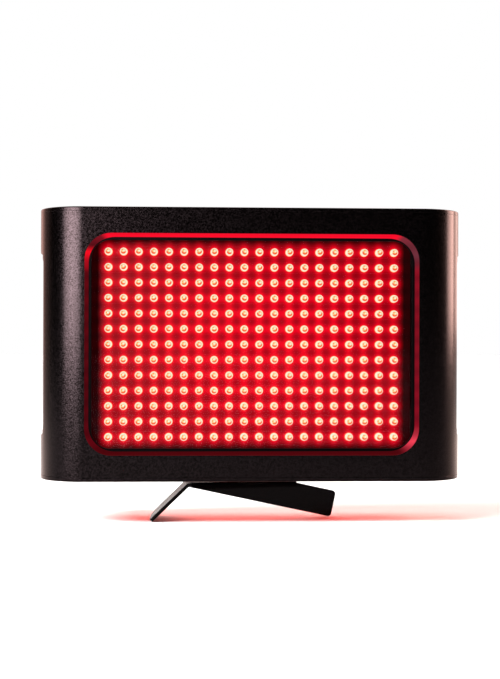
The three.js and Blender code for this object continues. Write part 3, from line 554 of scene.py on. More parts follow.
def board_mask():
    """Dark solder mask with the LEDs' red light painted on as a glow round each LED, most in the
    middle of the board.
    """
    material, shader = new_material("solder mask with painted red glow", {
        "Roughness": 0.3, "Specular IOR Level": 0.03, "Base Color": linear("#0c0203")})
    node = partial(add_node, material)
    place = node("TexCoord")
    split = node("SeparateXYZ", {0: place.outputs["Object"]})
    # Past the outermost LEDs the painted glow fades, from these distances to this one, to these
    # shares.
    fade_starts, fade_end, fade_shares = (2.5 * MM, 3.5 * MM), 7.5 * MM, (0.02, 0.1)
    waves, fades, reaches = [], [], []
    for (axis, step, count, centre), start, dark in zip(led_grid(), fade_starts, fade_shares):
        outer = (count - 1) / 2 * step
        # One crest on every LED of the row or column.
        phase = node("Math", operation="MULTIPLY_ADD", inputs={
            0: split.outputs[axis], 1: 2 * math.pi / step, 2: 2 * math.pi * (outer - centre) / step})
        waves.append(node("Math", {0: phase}, operation="COSINE"))
        offset = node("Math", {0: split.outputs[axis], 1: centre}, operation="SUBTRACT")
        across = node("Math", {0: offset}, operation="ABSOLUTE")
        fades.append(node("MapRange", **SMOOTH, inputs={
            "Value": across, "From Min": outer + start, "From Max": outer + fade_end,
            "To Min": 1.0, "To Max": dark}))
        reaches.append(node("Math", {0: across, 1: outer}, operation="DIVIDE"))
    both = node("Math", {0: waves[0], 1: waves[1]}, operation="ADD")
    spread = node("CombineXYZ", {0: reaches[0], 1: reaches[1]})
    reach = node("VectorMath", {0: spread}, operation="LENGTH")
    lift = node("MapRange", **SMOOTH, inputs={
        "Value": reach, "From Min": 0.3, "From Max": 1.1, "To Min": 0.9, "To Max": 0.0})
    raised = node("Math", {0: both, 1: lift}, operation="ADD")
    # The two waves add up to between -2 and 2, and the ramp starts at -2.
    share = node("MapRange", {"Value": raised, "From Min": -2.0, "From Max": 2.0})
    painted_halo = node("ValToRGB", {0: share}, reach=4.0, stops=(
        (0.0, "#960010"), (1.0, "#b20014"), (2.0, "#dc001a"), (2.7, "#fa0020"), (4.0, "#ff0a24")))
    dim = node("Math", {0: fades[0], 1: fades[1]}, operation="MULTIPLY")
    # The mask glows by emission: the LEDs' light is painted on, and no lamp casts it.
    feed(material, shader, {"Emission Color": painted_halo, "Emission Strength": dim})
    return material


def led_epoxy():
    """Lit water-clear epoxy dome: pale rim, and inside it the image of the chip and its wire."""
    material, shader = new_material("lit clear epoxy dome", {
        "Roughness": 0.15, "IOR": 1.5, "Specular IOR Level": 0.08,
        "Base Color": linear("#5a1008"), "Emission Strength": 1.0})
    node = partial(add_node, material)
    # Distances in this material are millimetres from the LED's axis.
    distance, offset, number = led_distance(node)
    end = 3.2
    share = node("MapRange", {"Value": distance, "From Max": end})
    glow = node("ValToRGB", {0: share}, reach=end, stops=(
        (0.0, "#ffd480"), (1.2, "#ffd888"), (1.65, "#fff0c0"), (2.05, "#fffff0"), (2.3, "#fffada"),
        (2.52, "#ffb060"), (2.72, "#ff3026"), (3.0, "#ff0620"), (end, "#ff0020")))
    # Every LED is turned a little differently in its holes.
    random = node("TexWhiteNoise", {"Vector": number}, noise_dimensions="3D")
    turn = node("MapRange", {"Value": random, "To Min": -0.6, "To Max": 0.6})
    turned = node("VectorRotate", {"Vector": offset, "Angle": turn}, rotation_type="Z_AXIS")
    split = node("SeparateXYZ", {0: turned})
    # The reflector cup shows as a smile: the lower part of a ring about 1.25 mm out from the axis.
    from_ring = node("Math", {0: distance, 1: 1.25}, operation="SUBTRACT")
    ring = node("Math", {0: from_ring}, operation="ABSOLUTE")
    band = node("MapRange", {"Value": ring, "From Min": 0.75, "From Max": 0.2}, **SMOOTH)
    low = node("MapRange", **SMOOTH, inputs={
        "Value": split.outputs["Y"], "From Min": 0.3, "From Max": -0.7, "To Min": 0.1, "To Max": 1.0})
    smile = node("Math", {0: band, 1: low}, operation="MULTIPLY")
    blend = node("Mix", {0: smile, 6: glow, 7: linear("#ff4c10")}, data_type="RGBA")
    # The chip itself is a white spot beside the axis, and the wire post an orange one above it.
    for place, near, far, code in (
            ((0.4, 0.3, 0), 0.3, 0.9, "#ffffec"), ((-0.7, 0.95, 0), 0.2, 0.65, "#ff9038")):
        away = node("VectorMath", {0: turned, 1: place}, operation="DISTANCE")
        spot = node("MapRange", {"Value": away, "From Min": far, "From Max": near}, **SMOOTH)
        blend = node("Mix", {0: spot, 6: blend, 7: linear(code)}, data_type="RGBA")
    feed(material, shader, {"Emission Color": blend})
    return material


def clear_acrylic():
    """Polished clear acrylic sheet: almost nothing shows but a faint gloss, in waves 40 mm long."""
    material, shader = new_material("clear acrylic window", {
        "Roughness": 0.05, "IOR": 1.49, "Alpha": 0.05, "Base Color": linear("#14060a")})
    place = add_node(material, "TexCoord")
    noise = add_node(
        material, "TexNoise", {"Vector": place.outputs["Object"], "Scale": 1 / (40 * MM)})
    waves = add_node(material, "Bump", {"Height": noise, "Strength": 0.05, "Distance": 0.1 * MM})
    feed(material, shader, {"Normal": waves})
    return material


def make_materials():
    """All finishes by name."""
    colours = bpy.context.scene.panel_colours
    MATERIALS.update({
        "shell": anodised_black("bead blasted black anodised aluminium"),
        "cap": anodised_black("black anodised end cap"),
        "wall": wall_with_painted_red_light(),
        "cover": powder_coat(
            "black powder coated cover", colours.cover_dark, colours.cover_light, 0.1, (0.35, 0.45)),
        "stand": powder_coat("black powder coated steel sheet", colours.stand_dark,
                             colours.stand_light, 0.03, (0.2, 0.26)),
        "bezel": matt_bezel(),
        "socket": moulded_plastic("black moulded nylon socket", "#0b0b0c", "#121213"),
        "rocker": moulded_plastic("black moulded rocker", "#0a0a0b", "#101011"),
        "fan": moulded_plastic("black moulded fan", "#0d0d0e", "#151516"),
        "aluminium": raw_metal("extruded aluminium", "#a3a6a9", "#b9bbbd", (0.32, 0.48)),
        "zinc": raw_metal("zinc plated steel", "#8b8d90", "#a2a4a7", (0.28, 0.42)),
        "blackscrew": raw_metal("blackened steel screw", "#131214", "#1f1d20", (0.3, 0.45)),
        "nickel": raw_metal("nickel plated pin", "#a9a59b", "#bdb9ae", (0.2, 0.3)),
        "nylon": moulded_plastic("natural nylon", "#cfcabf", "#dad6cc"),
        "mask": board_mask(),
        "epoxy": led_epoxy(),
        "acrylic": clear_acrylic(),
    })


def dress_cad():
    """Finishes for the CAD nodes that stay as they are."""
    finishes = {
        "heat_sink": "aluminium", "led_driver": "aluminium", "fan_frame": "fan", "fan_rotor": "fan",
        "board_spacer": "nylon", "board_screw": "zinc", "pivot_bolt": "blackscrew",
        "pivot_nut": "zinc", "pivot_washer": "nylon",
    }
    for name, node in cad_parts.items():
        for start, finish in finishes.items():
            if name.startswith(start):
                node.data.materials.clear()
                node.data.materials.append(MATERIALS[finish])


# Housing

def plan_block(name, low, high, front_radius, rear_radius, segments):
    """Block with wide round front corners and tight rear ones."""
    block = add_block(name, low, high)
    for y, radius, count in ((low[1], front_radius, segments), (high[1], rear_radius, segments // 2)):
        round_edges(
            block, lambda e: runs_along(e, "Z") and abs(middle(e).y - y) < MM, radius, count)
    return block


def window_cutter():
    """Tapered round-cornered plug that opens the front wall."""
    sizes = bpy.context.scene.panel_housing
    lean = sizes.window_taper / sizes.front_wall
    near = Vector((sizes.window_width / 2, 0, sizes.window_height / 2))
    margin = Vector((1, 0, 1)) * lean
    outer = near + margin * CLEAR
    inner = near - margin * (sizes.front_wall + CLEAR)
    plug = add_plate(
        "window cutter", (-outer.x, FRONT_Y - CLEAR, MID_Z - outer.z),
        (outer.x, FRONT_Y + sizes.front_wall + CLEAR, MID_Z + outer.z),
        sizes.window_radius + lean * CLEAR, segments=14)
    pick(plug, "VERT", lambda vert: vert.co.y > FRONT_Y)
    bpy.ops.transform.resize(
        value=(inner.x / outer.x, 1, inner.z / outer.z), center_override=(0, FRONT_Y, MID_Z))
    leave_edit()
    return plug


def scoop_rise(share):
    """Distance inside the scoop's end, as a share of its ramp, at a share of the S curve."""
    return 1.5 * share * (1 - share) + share ** 3


def scoop_share(inside, ramp):
    """Share of the scoop's full depth at a distance inside its end, found by halving."""
    low, high = 0.0, 1.0
    for _ in range(30):
        share = (low + high) / 2
        if ramp * scoop_rise(share) < inside:
            low = share
        else:
            high = share
    return 3 * share ** 2 - 2 * share ** 3


def scoop_cutter(side):
    """Shallow scoop along one side whose ends ease in on an S."""
    sizes = bpy.context.scene.panel_housing
    half = sizes.scoop_length / 2
    centre = MID_Z - sizes.vent_drop
    wide = sorted((side * (HALF_WIDTH - sizes.scoop_depth), side * (HALF_WIDTH + CLEAR)))
    cutter = add_block(
        "scoop cutter", (wide[0], FRONT_Y - CLEAR, centre - half),
        (wide[1], REAR_Y + CLEAR, centre + half))
    steps = 10
    for i in range(1, steps + 1):
        rise = sizes.scoop_ramp * scoop_rise(i / steps)
        for end in (-1, 1):
            slice_through(cutter, (0, 0, centre + end * (half - rise)), (0, 0, 1))
    # At its very ends the cutter stays a hair outside the shell.
    hair = 0.001 * MM
    for vert in cutter.data.vertices:
        if abs(vert.co.x) < HALF_WIDTH:
            depth = scoop_share(half - abs(vert.co.z - centre), sizes.scoop_ramp)
            vert.co.x = side * (HALF_WIDTH - sizes.scoop_depth * depth + hair * (depth == 0))
    return cutter


def vent_cutters():
    """Both columns of round-ended vent slots as one object."""
    sizes = bpy.context.scene.panel_housing
    half = sizes.vent_height / 2
    deep = HALF_WIDTH - 2 * sizes.side_wall - CLEAR
    pieces = []
    for side in (-1, 1):
        wide = sorted((side * deep, side * (HALF_WIDTH + CLEAR)))
        slot = add_plate(
            "vent cutter", (wide[0], FRONT_Y + sizes.vent_front, -half),
            (wide[1], REAR_Y - sizes.vent_rear, half), half * ROUND_END, segments=6, axis="X")
        for i in range(sizes.vent_count):
            z = MID_Z - sizes.vent_drop + (i - (sizes.vent_count - 1) / 2) * sizes.vent_pitch
            pieces.append(copy_piece(slot, "vent cutter", Matrix.Translation((0, 0, z))))
        bpy.data.objects.remove(slot)
    return join(pieces, "vent cutters")


def build_shell():
    """Extruded housing shell with its window, side scoops, vents and rear lips."""
    sizes = bpy.context.scene.panel_housing
    shell = plan_block(
        "shell", SHELL_LOW, SHELL_HIGH, sizes.front_radius, sizes.rear_radius, SHELL_STEPS)
    bottom, top = SHELL_LOW.z - CLEAR, SHELL_HIGH.z + CLEAR
    inner = HALF_WIDTH - sizes.side_wall
    lip_y = REAR_Y - sizes.lip_thickness
    cavity = plan_block(
        "cavity", (-inner, FRONT_Y + sizes.front_wall, bottom), (inner, lip_y, top),
        sizes.front_radius - sizes.side_wall, sizes.rear_radius / 2, segments=16)
    slot_half = HALF_WIDTH - sizes.lip_reach
    rear_slot = add_block(
        "rear slot", (-slot_half, lip_y - CLEAR, bottom), (slot_half, REAR_Y + CLEAR, top))
    cover_low, cover_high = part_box("rear_cover")
    seat = 0.3 * MM
    recess = add_block(
        "recess", (cover_low.x - seat, cover_low.y - seat, bottom),
        (cover_high.x + seat, REAR_Y + CLEAR, top))
    carve(shell, [
        cavity, rear_slot, recess, window_cutter(), scoop_cutter(-1), scoop_cutter(1), vent_cutters()])
    soften(shell, sizes.edge_break)
    dress(shell, ("shell", "wall"))
    # Faces round the window take the wall finish with painted red light.
    reach = Vector((sizes.window_width / 2, 0, sizes.window_height / 2))
    reach += Vector((1, 0, 1)) * sizes.edge_break
    for face in shell.data.polygons:
        corners = [shell.data.vertices[i].co for i in face.vertices]
        if all(abs(co.x) < reach.x and abs(co.z - MID_Z) < reach.z for co in corners):
            face.material_index = 1
    settle(shell, "panel", "shell_anodised", "housing_shell")


def build_caps():
    """Flat end caps with a seat for each screw, and the pivot's hole through the bottom one."""
    sizes = bpy.context.scene.panel_housing
    seat_gap, seat_depth = 0.3 * MM, 1.7 * MM
    # The real cap lies on the shell, so only a hairline is left of the gap in the solids.
    hairline = 0.03 * MM
    for node, way in (("top_cap", 1), ("bottom_cap", -1)):
        low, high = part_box(node)
        if way > 0:
            low.z = SHELL_HIGH.z + hairline
        else:
            high.z = SHELL_LOW.z - hairline
        outer = high.z if way > 0 else low.z
        plate = plan_block(
            node + "_plate", low, high, sizes.front_radius, sizes.rear_radius, SHELL_STEPS)
        round_edges(plate, lambda e: abs(middle(e).z - outer) < HAIR, sizes.cap_round, segments=4)
        cutters = []
        for screw in (node + "_screw_1", node + "_screw_2"):
            screw_low, screw_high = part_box(screw)
            centre = centre_of(screw)
            cutters.append(add_rod(
                "counterbore", (screw_high.x - screw_low.x) / 2 + seat_gap,
                (centre.x, centre.y, outer - way * seat_depth),
                (centre.x, centre.y, outer + way * CLEAR)))
        if way < 0:
            centre = centre_of("pivot_bolt")
            cutters.append(add_rod(
                "pivot hole", bpy.context.scene.panel_stand.hole_radius,
                (centre.x, centre.y, low.z - CLEAR), (centre.x, centre.y, high.z + CLEAR)))
        carve(plate, cutters)
        soften(plate, sizes.edge_break)
        dress(plate, ("cap",))
        settle(plate, "panel", "cap_anodised", node)


# Light engine

def build_window():
    """Bezel ring and clear window sheet."""
    sizes = bpy.context.scene.panel_light
    low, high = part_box("window_bezel")
    ring = add_plate("bezel_ring", low, high, sizes.bezel_radius, segments=12)
    half = Vector((sizes.opening_width / 2, 0, sizes.opening_height / 2))
    carve(ring, [add_plate(
        "opening", (-half.x, low.y - CLEAR, MID_Z - half.z), (half.x, high.y + CLEAR, MID_Z + half.z),
        sizes.opening_radius, segments=12)])
    soften(ring, sizes.edge_break)
    dress(ring, ("bezel",))
    settle(ring, "panel", "bezel_plastic", "window_bezel")
    sheet = add_plate("window_sheet", *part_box("front_lens"), sizes.opening_radius, segments=12)
    soften(sheet, width=0.2 * MM)
    dress(sheet, ("acrylic",))
    settle(sheet, "panel", "lens_acrylic", "front_lens")


def build_board():
    """LED board with its solder mask."""
    radius = bpy.context.scene.panel_light.board_radius
    plate = add_plate("mask_board", *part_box("led_board"), radius, segments=8)
    soften(plate, width=0.15 * MM)
    dress(plate, ("mask",))
    settle(plate, "panel", "board_mask", "led_board")


def dome_blank(base_y, tip_y, z):
    """One LED dome at X 0: flange, straight body and round tip, all pointing forward."""
    sizes = bpy.context.scene.panel_light
    flange, sunk = 0.9 * MM, 0.3 * MM
    # The body is straight for this share of the dome's length, then narrows over the next.
    straight, shoulder, narrowing = 0.66, 0.21, 0.76
    length = base_y - tip_y
    front = base_y - flange
    dome = add_rod("dome", sizes.flange_radius, (0, base_y + sunk, z), (0, front, z), sides=12)
    pick(dome, "FACE", lambda face: face.normal.y < -0.9)
    bpy.ops.mesh.inset(thickness=sizes.flange_radius - sizes.body_radius)
    for advance, scale in ((length * straight - flange, 1.0), (length * shoulder, narrowing)):
        bpy.ops.mesh.extrude_region_move(TRANSFORM_OT_translate={"value": (0, -advance, 0)})
        front -= advance
        bpy.ops.transform.resize(value=(scale, 1, scale), center_override=(0, front, z))
    bpy.ops.mesh.extrude_region_move(TRANSFORM_OT_translate={"value": (0, tip_y - front, 0)})
    bpy.ops.mesh.merge(type="CENTER")
    leave_edit()
    activate(dome)
    bpy.ops.object.shade_smooth_by_angle(angle=math.radians(50))
    return dome


def build_led_rows():
    """Rows of lit domes, each on its strip of the board."""
    sizes = bpy.context.scene.panel_light
    strip_depth, strip_half = 0.8 * MM, 3.5 * MM
    low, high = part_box(LED_ROWS[0])
    z = (low.z + high.z) / 2
    base_y = high.y - strip_depth
    strip = add_block("strip", (low.x, base_y, z - strip_half), (high.x, high.y, z + strip_half))
    soften(strip, width=0.1 * MM, segments=2)
    dome = dome_blank(base_y, low.y, z)
    # Strips take the solder mask with its painted red glow; domes take the lit epoxy.
    for piece, index in ((strip, 0), (dome, 1)):
        dress(piece, ("mask", "epoxy"), index)
    first = (1 - sizes.columns) / 2 * sizes.column_step
    domes = [copy_piece(dome, "dome", Matrix.Translation((first + i * sizes.column_step, 0, 0)))
             for i in range(sizes.columns)]
    row = join([strip] + domes, "dome_row")
    bpy.data.objects.remove(dome)
    for name in LED_ROWS:
        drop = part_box(name)[0].z - low.z
        made = copy_piece(row, name.replace("led_row", "dome_row"), Matrix.Translation((0, 0, drop)))
        settle(made, "panel", "led_epoxy", name)
    bpy.data.objects.remove(row)


# Back of the housing

def build_cover():
    """Rear cover with a slotted grille over each fan and openings for inlet and switch."""
    sizes = bpy.context.scene.panel_rear
    low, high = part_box("rear_cover")
    near, far = low.y - CLEAR, high.y + CLEAR
    plate = add_block("cover_plate", low, high)
    half = sizes.slot_width / 2
    cutters = []
    for centre in (centre_of("fan_frame_left"), centre_of("fan_frame_right")):
        for i in range(sizes.slot_count):
            offset = (i - (sizes.slot_count - 1) / 2) * sizes.slot_pitch
            reach = math.sqrt(sizes.grille_radius ** 2 - offset ** 2)
            cutters.append(add_plate(
                "grille slot", (centre.x + offset - half, near, centre.z - reach),
                (centre.x + offset + half, far, centre.z + reach), half * ROUND_END, segments=6))
    # Each opening lies this far inside the piece that it holds.
    insets = {"inlet_socket": Vector((1.45, 0, 1.9)) * MM, "switch_frame": Vector((0.7, 0, 0.7)) * MM}
    corner = 1.5 * MM
    for node, inset in insets.items():
        hole_low, hole_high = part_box(node)
        cutters.append(add_plate(
            "opening", (hole_low.x + inset.x, near, hole_low.z + inset.z),
            (hole_high.x - inset.x, far, hole_high.z - inset.z), corner, segments=4))
    carve(plate, [join(cutters, "cover cutters")])
    soften(plate, sizes.edge_break)
    dress(plate, ("cover",))
    settle(plate, "panel", "cover_powder_coat", "rear_cover")


def build_inlet():
    """Moulded mains inlet with its three blades."""
    low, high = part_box("inlet_socket")
    centre = (low + high) / 2
    flange_y = high.y - 2 * MM
    inset_x, inset_z = 1.75 * MM, 2.2 * MM
    radius = bpy.context.scene.panel_rear.flange_radius
    inlet = add_plate("inlet", (low.x, flange_y, low.z), high, radius, segments=6)
    body = add_plate(
        "inlet body", (low.x + inset_x, low.y, low.z + inset_z),
        (high.x - inset_x, flange_y + MM, high.z - inset_z), radius=2 * MM, segments=4)
    carve(inlet, [body], "UNION")
    # The plug's cavity, with round corners below and flats across the corners above.
    half = Vector((12, 0, 8.2)) * MM
    cavity_depth, corner = 16 * MM, 3 * MM
    cavity = add_block(
        "inlet cavity", (centre.x - half.x, high.y - cavity_depth, centre.z - half.z),
        (centre.x + half.x, high.y + CLEAR, centre.z + half.z))
    round_edges(cavity, lambda e: runs_along(e, "Y") and middle(e).z < centre.z, corner, segments=6)
    above = centre.z + half.z - corner / 2
    round_edges(cavity, lambda e: runs_along(e, "Y") and middle(e).z > above, corner, segments=1)
    carve(inlet, [cavity])
    soften(inlet, width=0.3 * MM)
    dress(inlet, ("socket", "nickel"))
    blade_half_x, blade_half_z, blade_root, blade_tip = MM, 2 * MM, 18.4 * MM, 3.4 * MM
    blades = []
    # Millimetres across and up from the inlet's middle; the earth blade stands highest.
    for across, rise in ((-7, 2), (7, 2), (0, 4)):
        x, z = centre.x + across * MM, centre.z + rise * MM
        blade = add_block(
            "blade", (x - blade_half_x, high.y - blade_root, z - blade_half_z),
            (x + blade_half_x, high.y - blade_tip, z + blade_half_z))
        soften(blade, width=0.35 * MM)
        dress(blade, ("socket", "nickel"), 1)
        blades.append(blade)
    join([inlet] + blades, "mains_inlet")
    settle(inlet, "panel", "socket_plastic", "inlet_socket")


def build_switch():
    """Switch frame and its rocker."""
    low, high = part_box("switch_frame")
    centre = (low + high) / 2
    flange_y = high.y - 1.6 * MM
    bezel = add_plate("switch_bezel", (low.x, flange_y, low.z), high, radius=MM, segments=4)
    body = add_plate(
        "switch body", (low.x + MM, low.y, low.z + MM), (high.x - MM, flange_y + MM / 2, high.z - MM),
        radius=MM, segments=4)
    carve(bezel, [body], "UNION")
    pocket_x, pocket_z, pocket_depth = 5.4 * MM, 8.4 * MM, 7.5 * MM
    carve(bezel, [add_block(
        "switch pocket", (centre.x - pocket_x, high.y - pocket_depth, centre.z - pocket_z),
        (centre.x + pocket_x, high.y + CLEAR, centre.z + pocket_z))])
    soften(bezel, bpy.context.scene.panel_rear.edge_break)
    dress(bezel, ("socket",))
    settle(bezel, "panel", "rocker_plastic", "switch_frame")

    # Blocked out about the pivot: two flats meet in a shallow valley, and the foot narrows.
    drop, half, wide, deep, crown = 2 * MM, 7.6 * MM, 5 * MM, 5 * MM, 1.2 * MM
    waist = 2.5 * MM
    valley, rise = 0.3 * MM, 0.9 * MM
    flank, foot = 7 * MM, 2.6 * MM
    cap = add_block("rocker_cap", (-wide, -deep + drop, -half), (wide, crown + drop, half))
    for z in (0, -waist, waist):
        slice_through(cap, (0, 0, z), (0, 0, 1))
    slice_through(cap, (0, -waist + drop, 0), (0, 1, 0))
    for vert in cap.data.vertices:
        z, y = vert.co.z, vert.co.y
        if y > drop:
            vert.co.y = drop + valley + rise * abs(z) / half
        elif abs(z) > flank:
            vert.co.z = math.copysign(flank if y > -MM else foot, z)
    soften(cap, width=0.35 * MM)
    pivot = Vector((centre.x, high.y - drop, centre.z))
    # Half of the switch's travel.
    tilt = Matrix.Rotation(math.radians(8), 4, "X")
    cap.data.transform(Matrix.Translation(pivot) @ tilt)
    dress(cap, ("rocker",))
    settle(cap, "rocker", "rocker_plastic", "switch_rocker")


def screw_blank(length):
    """Pan head screw pointing along -Z from its head's underside, with a cross recess."""
    head_radius, shank_radius, crown = 2.6 * MM, 1.2 * MM, 0.7 * MM
    recess_depth, overlap = 0.9 * MM, 0.3 * MM
    head = add_rod("screw", head_radius, (0, 0, 0), (0, 0, SCREW_HEAD), sides=24)
    near_top = SCREW_HEAD * 0.9
    round_edges(head, lambda e: middle(e).z > near_top and not runs_along(e, "Z"), crown, segments=4)
    half, arm = bpy.context.scene.panel_rear.screw_recess / 2, 0.35 * MM
    carve(head, [
        add_block("arm", (-x, -y, SCREW_HEAD - recess_depth), (x, y, SCREW_HEAD + CLEAR))
        for x, y in ((half, arm), (arm, half))])
    thread = add_rod("thread", shank_radius, (0, 0, -length), (0, 0, overlap), sides=16)
    carve(head, [thread], "UNION")
    return soften(head, width=0.08 * MM, segments=2)


def build_screws():
    """Every visible screw, modelled once for each length and copied."""
    long, short = screw_blank(15 * MM), screw_blank(7 * MM)
    backwards = Matrix.Rotation(-math.pi / 2, 4, "X")
    kinds = {
        "top_cap_screw": (short, Matrix.Identity(4)),
        "bottom_cap_screw": (short, Matrix.Rotation(math.pi, 4, "X")),
        "rear_cover_screw": (short, backwards),
        "fan_screw": (long, backwards),
    }
    for node in sorted(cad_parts):
        kind = node.rsplit("_", 1)[0]
        if kind not in kinds:
            continue
        blank, turn = kinds[kind]
        low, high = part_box(node)
        # The head's outer face lies at the box's end that the head points to.
        under = centre_of(node)
        if kind == "top_cap_screw":
            under.z = high.z - SCREW_HEAD
        elif kind == "bottom_cap_screw":
            under.z = low.z + SCREW_HEAD
        else:
            under.y = high.y - SCREW_HEAD
        # Each recess is turned by its screw's number.
        spin = Matrix.Rotation(math.radians(37 * int(node[-1])), 4, "Z")
        made = copy_piece(
            blank, node.replace("screw", "pan_screw"), Matrix.Translation(under) @ turn @ spin)
        dress(made, ("blackscrew",))
        settle(made, "panel", "zinc_steel", node)
    for blank in (long, short):
        bpy.data.objects.remove(blank)


# Stand

def foot_strip(top, front):
    """Flat tab and left foot, one strip with a fold; top is the tab's upper face."""
    sizes = bpy.context.scene.panel_stand
    tab_z = top - sizes.sheet
    angle = math.atan2(tab_z, sizes.foot_reach)
    bend_x = sizes.foot_x + sizes.bend_radius * math.tan(angle / 2)
    rear = front + sizes.foot_depth
    strip = add_block("stand", (bend_x, front, tab_z), (sizes.tab_right, rear, top))
    pick(strip, "FACE", lambda face: face.normal.x < -0.9)
    centre = Vector((bend_x, front, tab_z - sizes.bend_radius))
    bpy.ops.mesh.spin(steps=10, angle=angle, center=centre, axis=(0, 1, 0))
    down = Vector((-math.cos(angle), 0, -math.sin(angle)))
    start = centre + sizes.bend_radius * Vector((-math.sin(angle), 0, math.cos(angle)))
    toe = Vector((sizes.foot_x - sizes.foot_reach, front, 0))
    bpy.ops.mesh.extrude_region_move(TRANSFORM_OT_translate={"value": down * (toe - start).length})
    leave_edit()
    toe_x = sizes.foot_x - sizes.foot_reach + 0.5 * MM

    def at_toe(edge, y):
        place = middle(edge)
        short = (edge.verts[0].co - edge.verts[1].co).length < 1.2 * sizes.sheet
        return short and place.x < toe_x and abs(place.y - y) < HAIR and not runs_along(edge, "Y")

    def at_tab(edge):
        place = middle(edge)
        return runs_along(edge, "Z") and place.y > rear - MM and place.x > sizes.tab_right - MM

    round_edges(strip, lambda edge: at_toe(edge, rear), sizes.rear_round, segments=10)
    round_edges(strip, lambda edge: at_toe(edge, front), sizes.front_round, segments=4)
    round_edges(strip, at_tab, sizes.tab_round, segments=10)
    # The tab's front edge is trimmed along the leg's fold.
    outer = sizes.bend_radius + sizes.sheet
    corner_y = front + (bend_x - sizes.foot_x) * math.tan(sizes.leg_angle)
    corner_y += outer / math.cos(sizes.leg_angle)
    wedge_depth, wedge_width = 60 * MM, 120 * MM
    wedge = add_block("wedge", (0, -wedge_depth, tab_z - CLEAR), (wedge_width, 0, top + CLEAR))
    wedge.rotation_euler.z = sizes.leg_angle
    wedge.location = (bend_x, corner_y, 0)
    return carve(strip, [apply_place(wedge)])


def leg_strip(top, front):
    """Front leg: a right-angled fold trimmed to a sloping bar with round end corners."""
    sizes = bpy.context.scene.panel_stand
    tab_z = top - sizes.sheet
    fold_z = tab_z - sizes.bend_radius
    outer = sizes.bend_radius + sizes.sheet
    slope = math.atan2(tab_z, sizes.leg_reach)
    along = Vector((math.cos(slope), 0, -math.sin(slope)))
    up = Vector((math.sin(slope), 0, math.cos(slope)))
    far = sizes.leg_reach + 2 * sizes.leg_height * math.sin(slope)
    leg = add_block("leg", (sizes.relief, outer, tab_z), (far, outer + sizes.flange, top))
    pick(leg, "FACE", lambda face: face.normal.y < -0.9)
    bpy.ops.mesh.spin(steps=10, angle=math.pi / 2, center=(0, outer, fold_z), axis=(-1, 0, 0))
    bpy.ops.mesh.extrude_region_move(TRANSFORM_OT_translate={"value": (0, 0, -fold_z - CLEAR)})
    leave_edit()
    tip = Vector((sizes.leg_reach, 0, 0))
    for point, normal in ((tip, -up), (tip, along), (tip + up * sizes.leg_height, up)):
        slice_through(leg, point, normal, clear_outer=True, use_fill=True)
    near = sizes.leg_reach - 3 * MM

    def at_end(edge):
        return runs_along(edge, "Y") and middle(edge).x > near and middle(edge).y < sizes.sheet

    round_edges(leg, at_end, sizes.leg_round, segments=6)
    leg.data.transform(
        Matrix.Translation((sizes.foot_x, front, 0)) @ Matrix.Rotation(sizes.leg_angle, 4, "Z"))
    return leg


def build_stand():
    """Folded steel stand with its pivot hole."""
    sizes = bpy.context.scene.panel_stand
    low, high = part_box("swivel_stand")
    hole = centre_of("pivot_bolt")
    sheet = foot_strip(high.z, low.y)
    carve(sheet, [leg_strip(high.z, low.y)], "UNION")
    carve(sheet, [add_rod(
        "pivot hole", sizes.hole_radius, (hole.x, hole.y, 0), (hole.x, hole.y, high.z + CLEAR))])
    soften(sheet, sizes.edge_break)
    sheet.name = sheet.data.name = "folded_stand"
    dress(sheet, ("stand",))
    settle(sheet, "stand", "stand_powder_coat", "swivel_stand")


# Studio

def aim(way):
    """Turn that points a lamp along a direction."""
    return Vector(way).to_track_quat("-Z", "Y").to_euler()


def light_only(lamp, target):
    """Keep a lamp's light on one object; everything else still casts its shadow there."""
    lit = bpy.data.collections.new(lamp.name + " light")
    lit.objects.link(target)
    lamp.light_linking.receiver_collection = lit


def add_lamp(name, power, colour, place, target, size, diffuse=True, spread=180, only=None):
    """Soft rectangular lamp aimed at a point, unseen by the camera; lengths are in metres."""
    data = bpy.data.lights.new(name, "AREA")
    data.shape = "RECTANGLE"
    data.size, data.size_y = size
    data.energy = power
    data.color = linear(colour)[:3]
    data.spread = math.radians(spread)
    lamp = bpy.data.objects.new(name, data)
    bpy.context.scene.collection.objects.link(lamp)
    lamp.location = place
    lamp.rotation_euler = aim(Vector(target) - Vector(place))
    lamp.visible_camera = False
    lamp.visible_diffuse = diffuse
    if only:
        light_only(lamp, only)


def build_world():
    """White backdrop behind the object and a dark room in front; the camera sees white all round."""
    world = bpy.data.worlds.new("studio")
    world.use_nodes = True
    bpy.context.scene.world = world
    node = partial(add_node, world)
    paths = node("LightPath")
    direction = node("TexCoord")
    split = node("SeparateXYZ", {0: direction.outputs["Generated"]})
    backdrop = node("MapRange", **SMOOTH, inputs={
        "Value": split.outputs["Y"], "From Min": 0.0, "From Max": 0.35, "To Min": 0.02, "To Max": 1.0})
    seen = node("Math", {0: paths.outputs["Is Camera Ray"], 1: backdrop}, operation="MAXIMUM")
    # Surfaces that reflect the backdrop show it a little warm.
    shade = node("Mix", data_type="RGBA", inputs={
        0: paths.outputs["Is Glossy Ray"], 6: linear("#ffffff"), 7: linear("#fbdcd4")})
    feed(world, world.node_tree.nodes["Background"], {"Color": shade, "Strength": seen})


def build_floor():
    """Matt white table top."""
    deselect()
    bpy.ops.mesh.primitive_plane_add(size=24, location=(0, 0, 0))
    floor = bpy.context.object
    floor.name = "floor"
    material, _ = new_material("matt white table", {
        "Roughness": 0.9, "Specular IOR Level": 0.1, "Base Color": linear("#f4f3f2")})
    floor.data.materials.append(material)
    return floor


